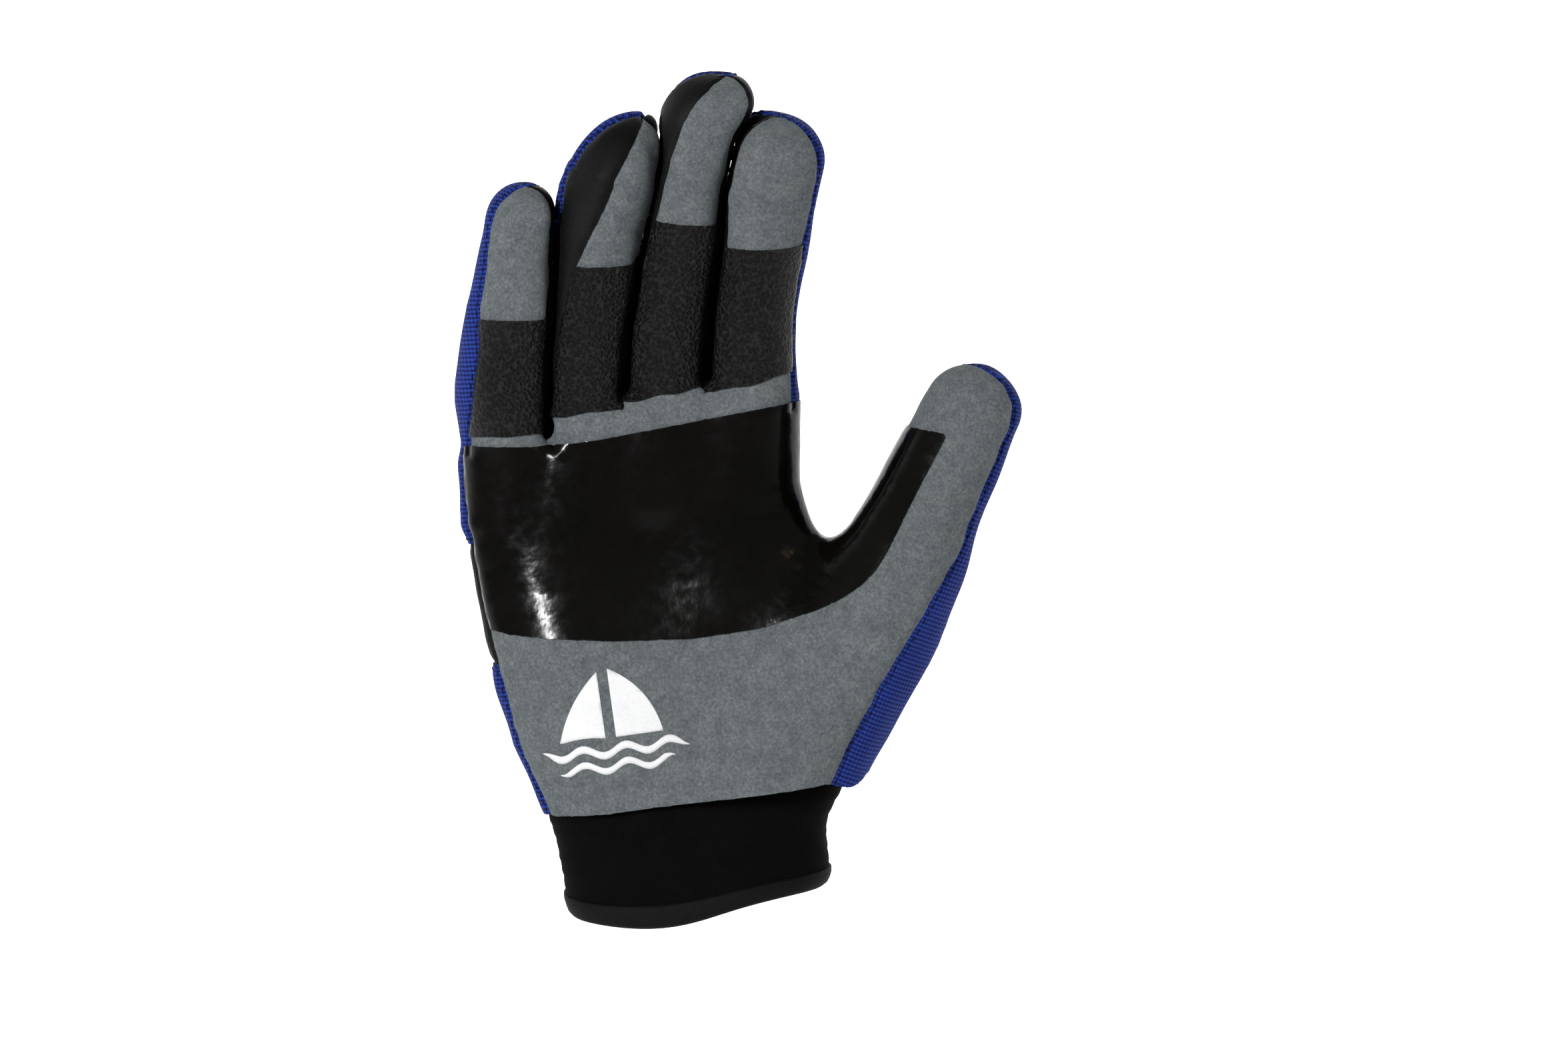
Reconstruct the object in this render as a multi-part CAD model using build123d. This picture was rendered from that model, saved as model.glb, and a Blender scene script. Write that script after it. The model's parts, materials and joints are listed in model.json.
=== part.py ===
"""Right-hand sailing glove, modelled as the sewn shell of an open, relaxed hand.

Frame: origin at the centre of the wrist opening's rim, +Z towards the fingertips,
-Y the palm side, +X the thumb side. Millimetres.

Each finger has three tubular segments, hinged at the root, the middle joint and the tip joint.
A hinge lies near the palm-side skin of the finger, so flexing opens the back and the palm side
is notched to let the segments fold. Every segment is a ring of separate panels.
"""

import math
import os

from build123d import *

# ---------------------------------------------------------------- driving dimensions
FABRIC = 1.2  # wall of a sewn panel
OVERLAY = 0.6  # how far a bonded grip patch stands proud
NEOPRENE = 2.2  # wall of the cuff band
JOINT_GAP = 0.4  # half the gap between two segments at rest
HINGE_DEPTH = 0.8  # a hinge's distance from the finger's axis, as a share of its radius
NOTCH_REACH = 1.12  # how far a fold notch reaches from the axis, as a share of the radius
SECTOR = 90  # angle that each of a finger's four panels covers
FAR = 400  # larger than the glove, for cutting tools

# Flexion ranges in degrees. The tip joint follows the middle joint.
ROOT_FLEX = 75
MIDDLE_FLEX = 80
TIP_RATIO = 2 / 3
THUMB_ROOT_FLEX = 30
THUMB_TIP_FLEX = 50

# Relaxed bend already present at each joint, in degrees.
REST_CURL = (3, 8, 9)

# root: where the finger's axis leaves the hand; lean: towards the thumb, from +Z;
# segments: lengths from joint to joint; radii: at the root, middle joint, tip joint and tip.
FINGERS = {
    "little": {"root": (-41.5, 0, 127), "lean": 8.8, "segments": (23, 22, 24), "radii": (9.3, 9.1, 8.5, 8.1)},
    "ring": {"root": (-20.6, 0, 131), "lean": 13.2, "segments": (28, 27, 28), "radii": (9.9, 9.7, 9.2, 8.7)},
    "middle": {"root": (1.2, 0, 134), "lean": 14.5, "segments": (30.5, 29, 30), "radii": (10.1, 9.9, 9.6, 9.1)},
    "index": {"root": (25.2, 0, 135), "lean": 11.5, "segments": (25, 24, 25), "radii": (10.6, 10.3, 9.9, 9.3)},
}

# The thumb's base cone runs from inside the heel of the palm to the thumb's root hinge.
THUMB_HEEL = (28, -3, 42)
THUMB_ROOT = (59.5, -7, 77)
THUMB_HEEL_RADIUS = 19.5
THUMB_LEAN = 28.5
THUMB_FORWARD = 8  # how far the thumb stands in front of the palm's plane, in degrees
THUMB_TURN = 28  # how far the thumb's pad faces the fingers, in degrees
THUMB_RUN_ON = 8  # the base cone's length beyond the root, before it is cut square
THUMB_SEGMENTS = (32, 31)
THUMB_RADII = (14, 12.6, 11)

# Hand shell cross-sections: height, centre x, centre y, width, depth.
HAND_BASE = 26  # where the hand shell is sewn to the cuff
HAND_SECTIONS = (
    (20, 0, 0, 75.5, 44.3),
    (62, -2, 0, 92, 42),
    (98, -8, 0, 92, 36),
    (150, -7, 0, 91, 29),
)
KNUCKLE_SLANT = 7  # the knuckle line rises towards the index finger by this angle
KNUCKLE_HEIGHT = 130.8  # of the knuckle line where it crosses x = 0
FLEX_STRIP = 4.5  # the palm side stops this far below the knuckle line

# Cuff cross-sections below the hand shell: height, width, depth.
CUFF_SECTIONS = ((5, 71, 47), (14, 70, 45), (26, 78, 44))
BINDING_HEIGHT = 5
BINDING_PROUD = 0.6
SLIT_X, SLIT_WIDTH = 12, 3

# Wrist closure on the back of the cuff.
TAB_LENGTH, TAB_HEIGHT, TAB_THICKNESS = 36, 16, 1.6
TAB_MIDDLE_Z = 15
TAB_HINGE_X = 17
FASTENER_THICKNESS = 0.8
LAYER_GAP = 0.15
ANCHOR_LENGTH = 7

# ---------------------------------------------------------------- placed frames and hinges
HINGES = {}  # joint name: (point, axis)


def note_hinge(name, place, depth):
    """Records a hinge across a segment's start, at the given depth towards the palm."""
    at = (place * Location((0, -depth, 0))).position
    along = Plane(place).x_dir
    HINGES[name] = (tuple(at), tuple(along))


def bent(place, depth, angle):
    """The frame turned by angle towards the palm about a hinge at that depth."""
    return place * Location((0, -depth, 0)) * Location((0, 0, 0), (angle, 0, 0)) * Location((0, depth, 0))


def finger_frames(name):
    """One frame per segment, +Z along it and -Y towards its pad."""
    spec = FINGERS[name]
    place = Location(spec["root"]) * Location((0, 0, 0), (0, spec["lean"], 0))
    frames = []
    for joint, curl, length, radius in zip(
        ("root", "middle", "tip"), REST_CURL, spec["segments"], spec["radii"]
    ):
        depth = HINGE_DEPTH * radius
        place = bent(place, depth, curl)
        note_hinge(f"{name}_{joint}_hinge", place, depth)
        frames.append(place)
        place = place * Location((0, 0, length))
    return frames


def thumb_frames():
    """The thumb's two segment frames."""
    place = Location(THUMB_ROOT) * Location((0, 0, 0), (0, THUMB_LEAN, 0))
    place = place * Location((0, 0, 0), (THUMB_FORWARD, 0, 0)) * Location((0, 0, 0), (0, 0, -THUMB_TURN))
    frames = []
    for joint, curl, length, radius in zip(("root", "tip"), (0, 6), THUMB_SEGMENTS, THUMB_RADII):
        depth = HINGE_DEPTH * radius
        place = bent(place, depth, curl)
        note_hinge(f"thumb_{joint}_hinge", place, depth)
        frames.append(place)
        place = place * Location((0, 0, length))
    return frames


# ---------------------------------------------------------------- segment building blocks
def tube(length, radius_0, radius_1, wall, proud=0.0):
    """A tapered tube whose outside is proud of the given radii and whose inside is wall below it."""
    base = (Align.CENTER, Align.CENTER, Align.MIN)
    outside = Cone(radius_0 + proud, radius_1 + proud, length, align=base)
    inside = Cone(radius_0 + proud - wall, radius_1 + proud - wall, length, align=base)
    return outside - inside


def domed_tube(length, radius_0, radius_1, wall):
    """A tapered tube closed by a half sphere that ends at length."""
    base = (Align.CENTER, Align.CENTER, Align.MIN)
    straight = length - radius_1
    outside = Cone(radius_0, radius_1, straight, align=base) + Pos(0, 0, straight) * Sphere(radius_1)
    inside = Cone(radius_0 - wall, radius_1 - wall, straight, align=base)
    inside += Pos(0, 0, straight) * Sphere(radius_1 - wall)
    return outside - inside


def quadrant(middle_angle):
    """A cutting wedge of one sector, its middle at that angle in the segment's plane."""
    corner = Box(FAR, FAR, FAR, align=(Align.MIN, Align.MIN, Align.CENTER))
    return Rot(0, 0, middle_angle - SECTOR / 2) * corner


PALMAR, DORSAL, THUMB_SIDE, LITTLE_SIDE = 270, 90, 0, 180


def notch(height, radius, flex, upward):
    """The wedge cut from a segment's palm side so that it can fold: it opens away from the hinge."""
    depth = HINGE_DEPTH * radius
    reach = NOTCH_REACH * radius
    sign = 1 if upward else -1
    start = height + sign * JOINT_GAP
    rise = sign * (reach - depth) * math.tan(math.radians(flex / 2))
    beyond = height - sign * radius
    outline = Polyline((-depth, start), (-reach, start + rise), (-reach, beyond), (-depth, beyond), close=True)
    return extrude(Plane.YZ * make_face(outline), reach, both=True)


def trimmed(body, length, radii, flexes, domed=False):
    """Cuts a segment back at both joints: the gap, and the notches on its palm side."""
    top = FAR if domed else length - JOINT_GAP
    slab = Pos(0, 0, JOINT_GAP) * Box(FAR, FAR, top - JOINT_GAP, align=(Align.CENTER, Align.CENTER, Align.MIN))
    body = body & slab
    body = body - notch(0, radii[0], flexes[0], True)
    if not domed:
        body = body - notch(length, radii[1], flexes[1], False)
    return body


def write(name, place, *shapes):
    """Places the solids in the glove and writes them as one node."""
    solids = [s for shape in shapes for s in (place * shape).solids()]
    export_step(Compound(children=solids), f"parts/{name}.step")


def write_panels(name, place, body, outer_side=None):
    """Splits a segment into its pad panel, back panel and side gussets.

    Where a side has no gusset, the back panel wraps round to the pad.
    """
    write(f"{name}_front", place, body & quadrant(PALMAR))
    back = body & quadrant(DORSAL)
    sides = []
    for side in (THUMB_SIDE, LITTLE_SIDE):
        piece = body & quadrant(side)
        if side == outer_side:
            back += piece
        else:
            sides.append(piece)
    write(f"{name}_back", place, back)
    if sides:
        write(f"{name}_fourchettes", place, *sides)


# ---------------------------------------------------------------- fingers
def grip_overlay(length, radius_0, radius_1, z_from, z_to):
    """The bonded grip patch over a segment's pad, between two heights."""
    sheath = tube(length, radius_0, radius_1, OVERLAY, proud=OVERLAY)
    band = Pos(0, 0, z_from) * Box(FAR, FAR, z_to - z_from, align=(Align.CENTER, Align.CENTER, Align.MIN))
    return sheath & band & quadrant(PALMAR)


def make_finger(name, outer_side):
    spec = FINGERS[name]
    lengths, radii = spec["segments"], spec["radii"]
    tip_flex = MIDDLE_FLEX * TIP_RATIO
    flex = (ROOT_FLEX + REST_CURL[0], MIDDLE_FLEX + REST_CURL[1], tip_flex + REST_CURL[2])
    proximal, middle, distal = finger_frames(name)

    body = trimmed(tube(lengths[0], radii[0], radii[1], FABRIC), lengths[0], radii[0:2], flex[0:2])
    write_panels(f"{name}_proximal", proximal, body, outer_side)
    patch = grip_overlay(lengths[0], radii[0], radii[1], 0, lengths[0])
    write(f"{name}_grip_lower", proximal, trimmed(patch, lengths[0], radii[0:2], flex[0:2]))

    body = trimmed(tube(lengths[1], radii[1], radii[2], FABRIC), lengths[1], radii[1:3], flex[1:3])
    write_panels(f"{name}_middle", middle, body, outer_side)
    patch = grip_overlay(lengths[1], radii[1], radii[2], 0, lengths[1] / 2)
    write(f"{name}_grip_upper", middle, trimmed(patch, lengths[1], radii[1:3], flex[1:3]))

    body = domed_tube(lengths[2], radii[2], radii[3], FABRIC)
    body = trimmed(body, lengths[2], radii[2:4], (flex[2], 0), domed=True)
    write_panels(f"{name}_distal", distal, body, outer_side)


# ---------------------------------------------------------------- thumb
def make_thumb():
    proximal, distal = thumb_frames()
    length, radii = THUMB_SEGMENTS[0], THUMB_RADII
    flex = (THUMB_ROOT_FLEX, THUMB_TIP_FLEX + 6)
    front = quadrant(PALMAR) + quadrant(LITTLE_SIDE)

    body = trimmed(tube(length, radii[0], radii[1], FABRIC), length, radii[0:2], flex)
    write("thumb_proximal_front", proximal, body & front)
    write("thumb_proximal_back", proximal, body - front)
    patch = tube(length, radii[0], radii[1], OVERLAY, proud=OVERLAY) & quadrant((PALMAR + LITTLE_SIDE) / 2)
    write("thumb_grip_patch", proximal, trimmed(patch, length, radii[0:2], flex))

    body = domed_tube(THUMB_SEGMENTS[1], radii[1], radii[2], FABRIC)
    body = trimmed(body, THUMB_SEGMENTS[1], radii[1:3], (flex[1], 0), domed=True)
    write("thumb_distal_front", distal, body & front)
    write("thumb_distal_back", distal, body - front)


# ---------------------------------------------------------------- hand shell
def thumb_base(offset, open_end=False):
    """The cone that joins the palm to the thumb, grown by offset.

    It ends square to the thumb's first segment. With an open end it runs on past that plane.
    """
    axis = Vector(THUMB_ROOT) - Vector(THUMB_HEEL)
    place = Plane(origin=THUMB_HEEL, z_dir=axis).location
    slope = (THUMB_RADII[0] - THUMB_HEEL_RADIUS) / axis.length
    length = axis.length + THUMB_RUN_ON
    end_radius = THUMB_HEEL_RADIUS + slope * length
    cone = Cone(THUMB_HEEL_RADIUS + offset, end_radius + offset, length, align=(Align.CENTER, Align.CENTER, Align.MIN))
    body = place * (cone + Sphere(THUMB_HEEL_RADIUS + offset))
    return body if open_end else body & before_thumb_hinge()


def hand_volume(offset, open_end=False):
    """The hand's solid form, grown by offset on every side."""
    faces = []
    for z, x, y, width, depth in HAND_SECTIONS:
        outline = RectangleRounded(width + 2 * offset, depth + 2 * offset, depth / 2 + offset - 0.5)
        faces.append(Pos(x, y, z) * outline)
    slab = Pos(0, 0, HAND_BASE) * Box(FAR, FAR, FAR, align=(Align.CENTER, Align.CENTER, Align.MIN))
    return (loft(faces, ruled=True) + thumb_base(offset, open_end)) & slab


def below_knuckles(drop):
    """Everything below the slanted knuckle line, lowered by drop."""
    block = Box(FAR, FAR, FAR, align=(Align.CENTER, Align.CENTER, Align.MAX))
    return Pos(0, 0, KNUCKLE_HEIGHT - drop) * Rot(0, -KNUCKLE_SLANT, 0) * block


def before_thumb_hinge():
    """Everything on the hand's side of the thumb's root, less the joint's gap."""
    block = Box(FAR, FAR, FAR, align=(Align.CENTER, Align.CENTER, Align.MAX))
    return thumb_frames()[0] * Pos(0, 0, -JOINT_GAP) * block


PALM_HALF = Box(FAR, FAR, FAR, align=(Align.CENTER, Align.MAX, Align.CENTER))
BACK_HALF = Box(FAR, FAR, FAR, align=(Align.CENTER, Align.MIN, Align.CENTER))


def prism(*points):
    """A cutting prism through the glove, from an outline in the X-Z plane."""
    return extrude(Plane.XZ * make_face(Polyline(*points, close=True)), FAR / 2, both=True)


def make_hand():
    outside = hand_volume(0)
    shell = outside - hand_volume(-FABRIC, open_end=True)
    palm = (shell & PALM_HALF & below_knuckles(FLEX_STRIP)) - thumb_notch()
    write("palm_panel", Location(), palm)

    back = shell & BACK_HALF & below_knuckles(JOINT_GAP + 0.6)
    gusset_area = prism((-FAR, 66), (-FAR, 104), (-30, 101), (8, 86), (-30, 71))
    write("side_gusset", Location(), back & gusset_area)
    write("back_panel", Location(), back - gusset_area)

    thumb_room = thumb_frames()[0] * Cylinder(
        THUMB_RADII[0] + 2 * OVERLAY, THUMB_SEGMENTS[0], align=(Align.CENTER, Align.CENTER, Align.MIN)
    )
    skin = ((hand_volume(OVERLAY) - outside) & PALM_HALF) - thumb_notch() - thumb_room
    patch_area = prism((-FAR, 77), (-26, 71), (4, 71), (30, 77), (44, 90), (90, 112), (90, 124), (-FAR, 112))
    write("palm_grip_patch", Location(), skin & patch_area & below_knuckles(FLEX_STRIP + 2))


def thumb_notch():
    """Room in the hand's palm side for the thumb to fold at its root."""
    return (thumb_frames()[0] * notch(0, THUMB_RADII[0], THUMB_ROOT_FLEX, False)) & before_thumb_hinge()


# ---------------------------------------------------------------- cuff and closure
def cuff_volume(offset):
    faces = []
    for z, width, depth in CUFF_SECTIONS:
        outline = RectangleRounded(width + 2 * offset, depth + 2 * offset, depth / 2 + offset - 0.5)
        faces.append(Pos(0, 0, z) * outline)
    return loft(faces, ruled=True)


def slit():
    return Pos(SLIT_X, 0, 0) * Box(SLIT_WIDTH, FAR, FAR, align=(Align.CENTER, Align.MIN, Align.CENTER))


def make_cuff():
    write("cuff_band", Location(), cuff_volume(0) - cuff_volume(-NEOPRENE) - slit())

    _, width, depth = CUFF_SECTIONS[0]
    outer = RectangleRounded(width + 2 * BINDING_PROUD, depth + 2 * BINDING_PROUD, depth / 2 + BINDING_PROUD - 0.5)
    wall = NEOPRENE + BINDING_PROUD
    inner = RectangleRounded(width - 2 * wall, depth - 2 * wall, depth / 2 - wall - 0.5)
    write("cuff_binding", Location(), extrude(outer - inner, BINDING_HEIGHT) - slit())


def plate(x_from, x_to, y_from, thickness, height):
    """A flat strip on the back of the cuff, centred on the closure's height."""
    low_corner = (Align.MIN, Align.MIN, Align.CENTER)
    return Pos(x_from, y_from, TAB_MIDDLE_Z) * Box(x_to - x_from, thickness, height, align=low_corner)


def make_closure():
    back_face = CUFF_SECTIONS[0][2] / 2
    loop_to = SLIT_X - SLIT_WIDTH
    hook_from, hook_to = TAB_HINGE_X - TAB_LENGTH + 3, loop_to - 2
    write("loop_patch", Location(), plate(hook_from - 4, loop_to, back_face, FASTENER_THICKNESS, TAB_HEIGHT + 2))

    hook_y = back_face + FASTENER_THICKNESS + LAYER_GAP
    write("hook_patch", Location(), plate(hook_from, hook_to, hook_y, FASTENER_THICKNESS, TAB_HEIGHT - 2))

    tab_y = hook_y + FASTENER_THICKNESS
    tab = plate(TAB_HINGE_X - TAB_LENGTH, TAB_HINGE_X, tab_y, TAB_THICKNESS, TAB_HEIGHT)
    corners = tab.edges().filter_by(Axis.Y).group_by(Axis.X)[0]
    write("closure_tab", Location(), fillet(corners, TAB_HEIGHT / 3))
    note = (TAB_HINGE_X + LAYER_GAP, tab_y + TAB_THICKNESS, TAB_MIDDLE_Z)
    HINGES["closure_tab_hinge"] = (note, (0, 0, -1))

    anchor_x = TAB_HINGE_X + 2 * LAYER_GAP
    anchor = plate(anchor_x, anchor_x + ANCHOR_LENGTH, back_face, tab_y + TAB_THICKNESS - back_face, TAB_HEIGHT)
    write("tab_anchor", Location(), anchor)


OUTER_SIDES = {"little": LITTLE_SIDE, "ring": None, "middle": None, "index": THUMB_SIDE}


def main():
    os.makedirs("parts", exist_ok=True)
    for name, outer_side in OUTER_SIDES.items():
        make_finger(name, outer_side)
    make_thumb()
    make_hand()
    make_cuff()
    make_closure()


main()
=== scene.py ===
"""Right-hand sailing glove: sewn panels over one smooth hand-shaped surface.

The hand's surface is one closed level set of a distance field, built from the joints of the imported
model. It is cut along its seams into panels, and each panel gets its thickness, seam grooves,
wrinkles and material. Lengths inside the shape code are millimetres.
"""
import json
import math

import bmesh
import bpy
import numpy as np
from mathutils import Matrix, Vector
from mathutils.kdtree import KDTree


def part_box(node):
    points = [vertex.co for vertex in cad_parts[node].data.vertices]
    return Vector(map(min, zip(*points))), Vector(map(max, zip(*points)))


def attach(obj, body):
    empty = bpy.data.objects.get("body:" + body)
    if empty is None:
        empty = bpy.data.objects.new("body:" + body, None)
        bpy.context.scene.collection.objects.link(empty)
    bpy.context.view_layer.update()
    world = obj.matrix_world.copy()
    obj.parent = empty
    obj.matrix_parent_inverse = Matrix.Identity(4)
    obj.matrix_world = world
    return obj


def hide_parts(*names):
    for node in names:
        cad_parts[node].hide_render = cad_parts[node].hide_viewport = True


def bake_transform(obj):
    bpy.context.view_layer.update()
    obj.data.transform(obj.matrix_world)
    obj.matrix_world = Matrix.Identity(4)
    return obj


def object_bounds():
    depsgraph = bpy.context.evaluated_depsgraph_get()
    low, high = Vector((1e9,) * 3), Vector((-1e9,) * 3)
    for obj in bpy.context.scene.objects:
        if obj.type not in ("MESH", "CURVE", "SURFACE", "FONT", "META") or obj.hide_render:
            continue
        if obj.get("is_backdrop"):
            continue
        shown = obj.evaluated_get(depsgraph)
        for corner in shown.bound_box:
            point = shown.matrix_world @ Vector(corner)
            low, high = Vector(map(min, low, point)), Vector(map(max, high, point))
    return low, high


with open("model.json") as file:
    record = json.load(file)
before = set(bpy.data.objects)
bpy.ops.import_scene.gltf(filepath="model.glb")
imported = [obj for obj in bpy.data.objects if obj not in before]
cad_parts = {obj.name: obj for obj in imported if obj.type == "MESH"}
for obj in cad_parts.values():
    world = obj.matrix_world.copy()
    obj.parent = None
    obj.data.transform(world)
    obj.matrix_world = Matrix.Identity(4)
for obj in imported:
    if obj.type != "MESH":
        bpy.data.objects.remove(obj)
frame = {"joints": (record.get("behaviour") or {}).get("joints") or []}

cad_low, cad_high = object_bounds()
MM = 0.001
joints = {j["name"]: j for j in frame["joints"]}

# ------------------------------ shape data, in mm and degrees
# depth: the axis line's distance behind the hinges; last: its length beyond the tip joint;
# cap: length of the rounded end; lean: sideways slant of that end; cuts: where the segments part;
# crotch: where the finger leaves the hand; slant: tilt of the grip patch's lower edge.
# Rows: distance along the finger from its root joint, sideways shift, half width, turn of the
# pad towards the thumb, half angle that the pad panel covers.
FINGERS = {
    "little": {
        "depth": 7.3, "last": 23.3, "cap": 10, "lean": 0.1, "cuts": (11.5, 33.9), "crotch": 1.5, "slant": 0.03,
        "rows": ((-26, 4.0, 10.0, 0, 56), (1.6, 1.1, 12.7, 3, 52), (12, 0.2, 13.1, 8, 47),
                 (23, 0.2, 12.4, 10, 46), (33.5, 0.4, 12.2, 9, 50), (44, 1.2, 11.2, 8, 55),
                 (54.6, 1.6, 10.2, 8, 58), (69, 1.6, 9.2, 8, 60)),
    },
    "ring": {
        "depth": 7.7, "last": 24.4, "cap": 13, "lean": 0.62, "cuts": (14, 42.8), "crotch": 2.5, "slant": 0.22,
        "rows": ((-26, 2.0, 11.0, 0, 56), (2.7, 1.0, 11.6, 0, 50), (21.5, -0.3, 11.8, 3, 47),
                 (40.4, -2.0, 12.3, 26, 46), (48.8, -2.3, 12.9, 40, 46), (55.0, -1.7, 12.8, 47, 47),
                 (60, -0.8, 12.3, 49, 47), (66, 0.7, 11.7, 50, 48)),
    },
    "middle": {
        "depth": 7.9, "last": 28.2, "cap": 13, "lean": 0.34, "cuts": (15, 48.9), "crotch": 2.5, "slant": 0.3,
        "rows": ((-26, 1.0, 11.0, 0, 58), (2, 0.8, 11.6, 0, 53), (16.5, -0.8, 11.8, 0, 53),
                 (33.4, -1.3, 11.6, 3, 53), (46.2, -1.3, 11.4, 7, 52), (54.7, -1.2, 11.5, 11, 50),
                 (65.5, -1.1, 12.2, 15, 47), (75, -0.4, 11.7, 18, 45)),
    },
    "index": {
        "depth": 8.2, "last": 24.2, "cap": 12, "lean": 0.05, "cuts": (12.5, 38.9), "crotch": 2.0, "slant": 0.3,
        "rows": ((-26, 0.0, 11.0, 0, 58), (0.8, 0.4, 12.4, 3, 58), (19.6, -1.4, 12.2, 4, 57),
                 (36.6, -1.0, 12.2, 5, 57), (51.4, -1.5, 13.7, 6, 58), (62.1, -0.5, 13.3, 6, 59),
                 (74, 0.2, 12.6, 6, 60)),
    },
}
NAMES = list(FINGERS)
SIDE_SEAM = 122  # angle from the pad to the seam between side gusset and back
FINGER_START = -26  # where a finger's volume begins inside the hand
FINGER_POWER, THUMB_POWER = 2.25, 2.2  # how square the cross sections are
TIP_BEND = 9  # bend of the axis at the tip joint, at rest
FINGER_GAP = 1.4  # least space between neighbouring fingers
GAP_ROUND = 2.0  # rounding of the gap's edges
GAP_WAVE, GAP_PITCH = 1.6, 13.0  # the gap snakes in depth, so fingers that touch close off the view
GAP_REACH = 5.0  # how far from the fingers' middle depth it snakes
FINGER_BLEND = 5.0  # how far a finger and the hand blend into each other
GRIP_START = 1.5  # where the grip patches begin
GRIP_WAVER = 0.35  # unevenness of the grip patches' lower edges
CUT_SLANT = 0.1  # the cuts across a finger are a little less tilted than the finger

# Palm sections: height, left x, right x, front y, back y.
PALM = np.array((
    (18, -36.8, 36.0, -20.0, 19.5), (26, -39.8, 38.5, -20.5, 19.5), (45, -46.4, 40.5, -21.0, 19.0),
    (66, -50.4, 41.0, -19.0, 17.5), (86, -53.2, 38.5, -15.5, 16.5), (109, -54.8, 36.2, -14.0, 15.0),
    (128, -52.8, 37.2, -12.6, 13.6), (136, -53.0, 37.6, -11.5, 12.5), (150, -51.5, 38.0, -10.5, 11.5),
), float)
PALM_POWER = 2.6
PALM_HOLLOW = (3.3, -4, 92, 19, 22)  # depth, x, z, reach in x and in z
HEEL_PAD = (2.2, -34, 62, 13, 30)
# The palm's top edge, and the line where the fingers' panels begin: heights across x.
TOP_X, TOP_Z = (-53, -33, -28, -22, -9, 13, 38), (123.0, 124.5, 123.5, 127.5, 133.0, 135.5, 132.0)
ROOT_X, ROOT_Z = (-56, -50, -30, -15, 36, 42), (126.2, 126.2, 124.2, 125.0, 130.2, 130.6)

# Thumb: points of its axis (x, y, z) and radius, from the heel to the tip.
THUMB_ROWS = ((21.8, -5, 26.0, 19.0), (29.0, -5, 40.0, 19.5), (38.8, -6, 51.0, 19.0),
              (54.6, -8, 70.5, 17.6), (61.4, -9, 83.0, 16.0), (72.0, -12, 105.0, 14.1),
              (80.6, -15.5, 119.5, 13.4), (87.2, -19.0, 130.4, 12.0))
THUMB_CAP = 11.8
WEB = 17.0  # how far the palm and the thumb blend into each other
WEB_FILL = (5.5, 49, 97, 20, 22)  # more of that blend, and where
WEB_SEAM = (8.0, 49, 94, 9, 9)  # how far the seam comes to the front there
THUMB_ZONE = (94.0, 128.0)  # where its lower and upper zones begin, along the thumb's direction

# Seam lines as (x, z) points.
GLOSS_OUTLINE = ((-75, 78.0), (-49, 77.2), (-43.5, 75.6), (-32.5, 73.8), (-16.5, 71.8), (4, 70.6),
                 (22.5, 71.8), (37.3, 75.2), (44.5, 78.0), (50.6, 81.4), (54.6, 85.2), (57.5, 89.2),
                 (61.6, 96.0), (75.6, 119.2), (66.0, 121.6), (58, 123.0), (50, 190), (-75, 190))
THUMB_SEAM = ((34.0, 22.0), (36.8, 28.3), (55.1, 57.2), (76.3, 85.6), (85.6, 98.3), (98.5, 121),
              (107, 150))

# ------------------------------ small vector helpers
def unit(v):
    return v / np.maximum(np.linalg.norm(v, axis=-1, keepdims=True), 1e-9)


def smin(a, b, k):
    """The smaller of two distances, rounded over where they are within k of each other."""
    h = np.clip(0.5 + 0.5 * (b - a) / k, 0, 1)
    return b * (1 - h) + a * h - k * h * (1 - h)


def smax(a, b, k):
    return -smin(-a, -b, k)


def turned(v, axis, degrees):
    a = math.radians(degrees)
    along = axis * np.dot(axis, v) * (1 - math.cos(a))
    return v * math.cos(a) + np.cross(axis, v) * math.sin(a) + along


def waves(points, size, seed, count=7):
    """Smooth repeatable noise of about unit height and the given feature size."""
    r = np.random.default_rng(seed)
    out = np.zeros(len(points))
    for _ in range(count):
        k = unit(r.normal(size=3)) * (2 * math.pi / (size * r.uniform(1.4, 3.0)))
        out += np.sin(points @ k + r.uniform(0, 7))
    return out / math.sqrt(count)


def swell(points):
    """How far the fabric stands out in its soft folds, away from the seams."""
    return 0.28 * waves(points, 9.0, 5) + 0.35 * waves(points, 22.0, 6)


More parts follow.
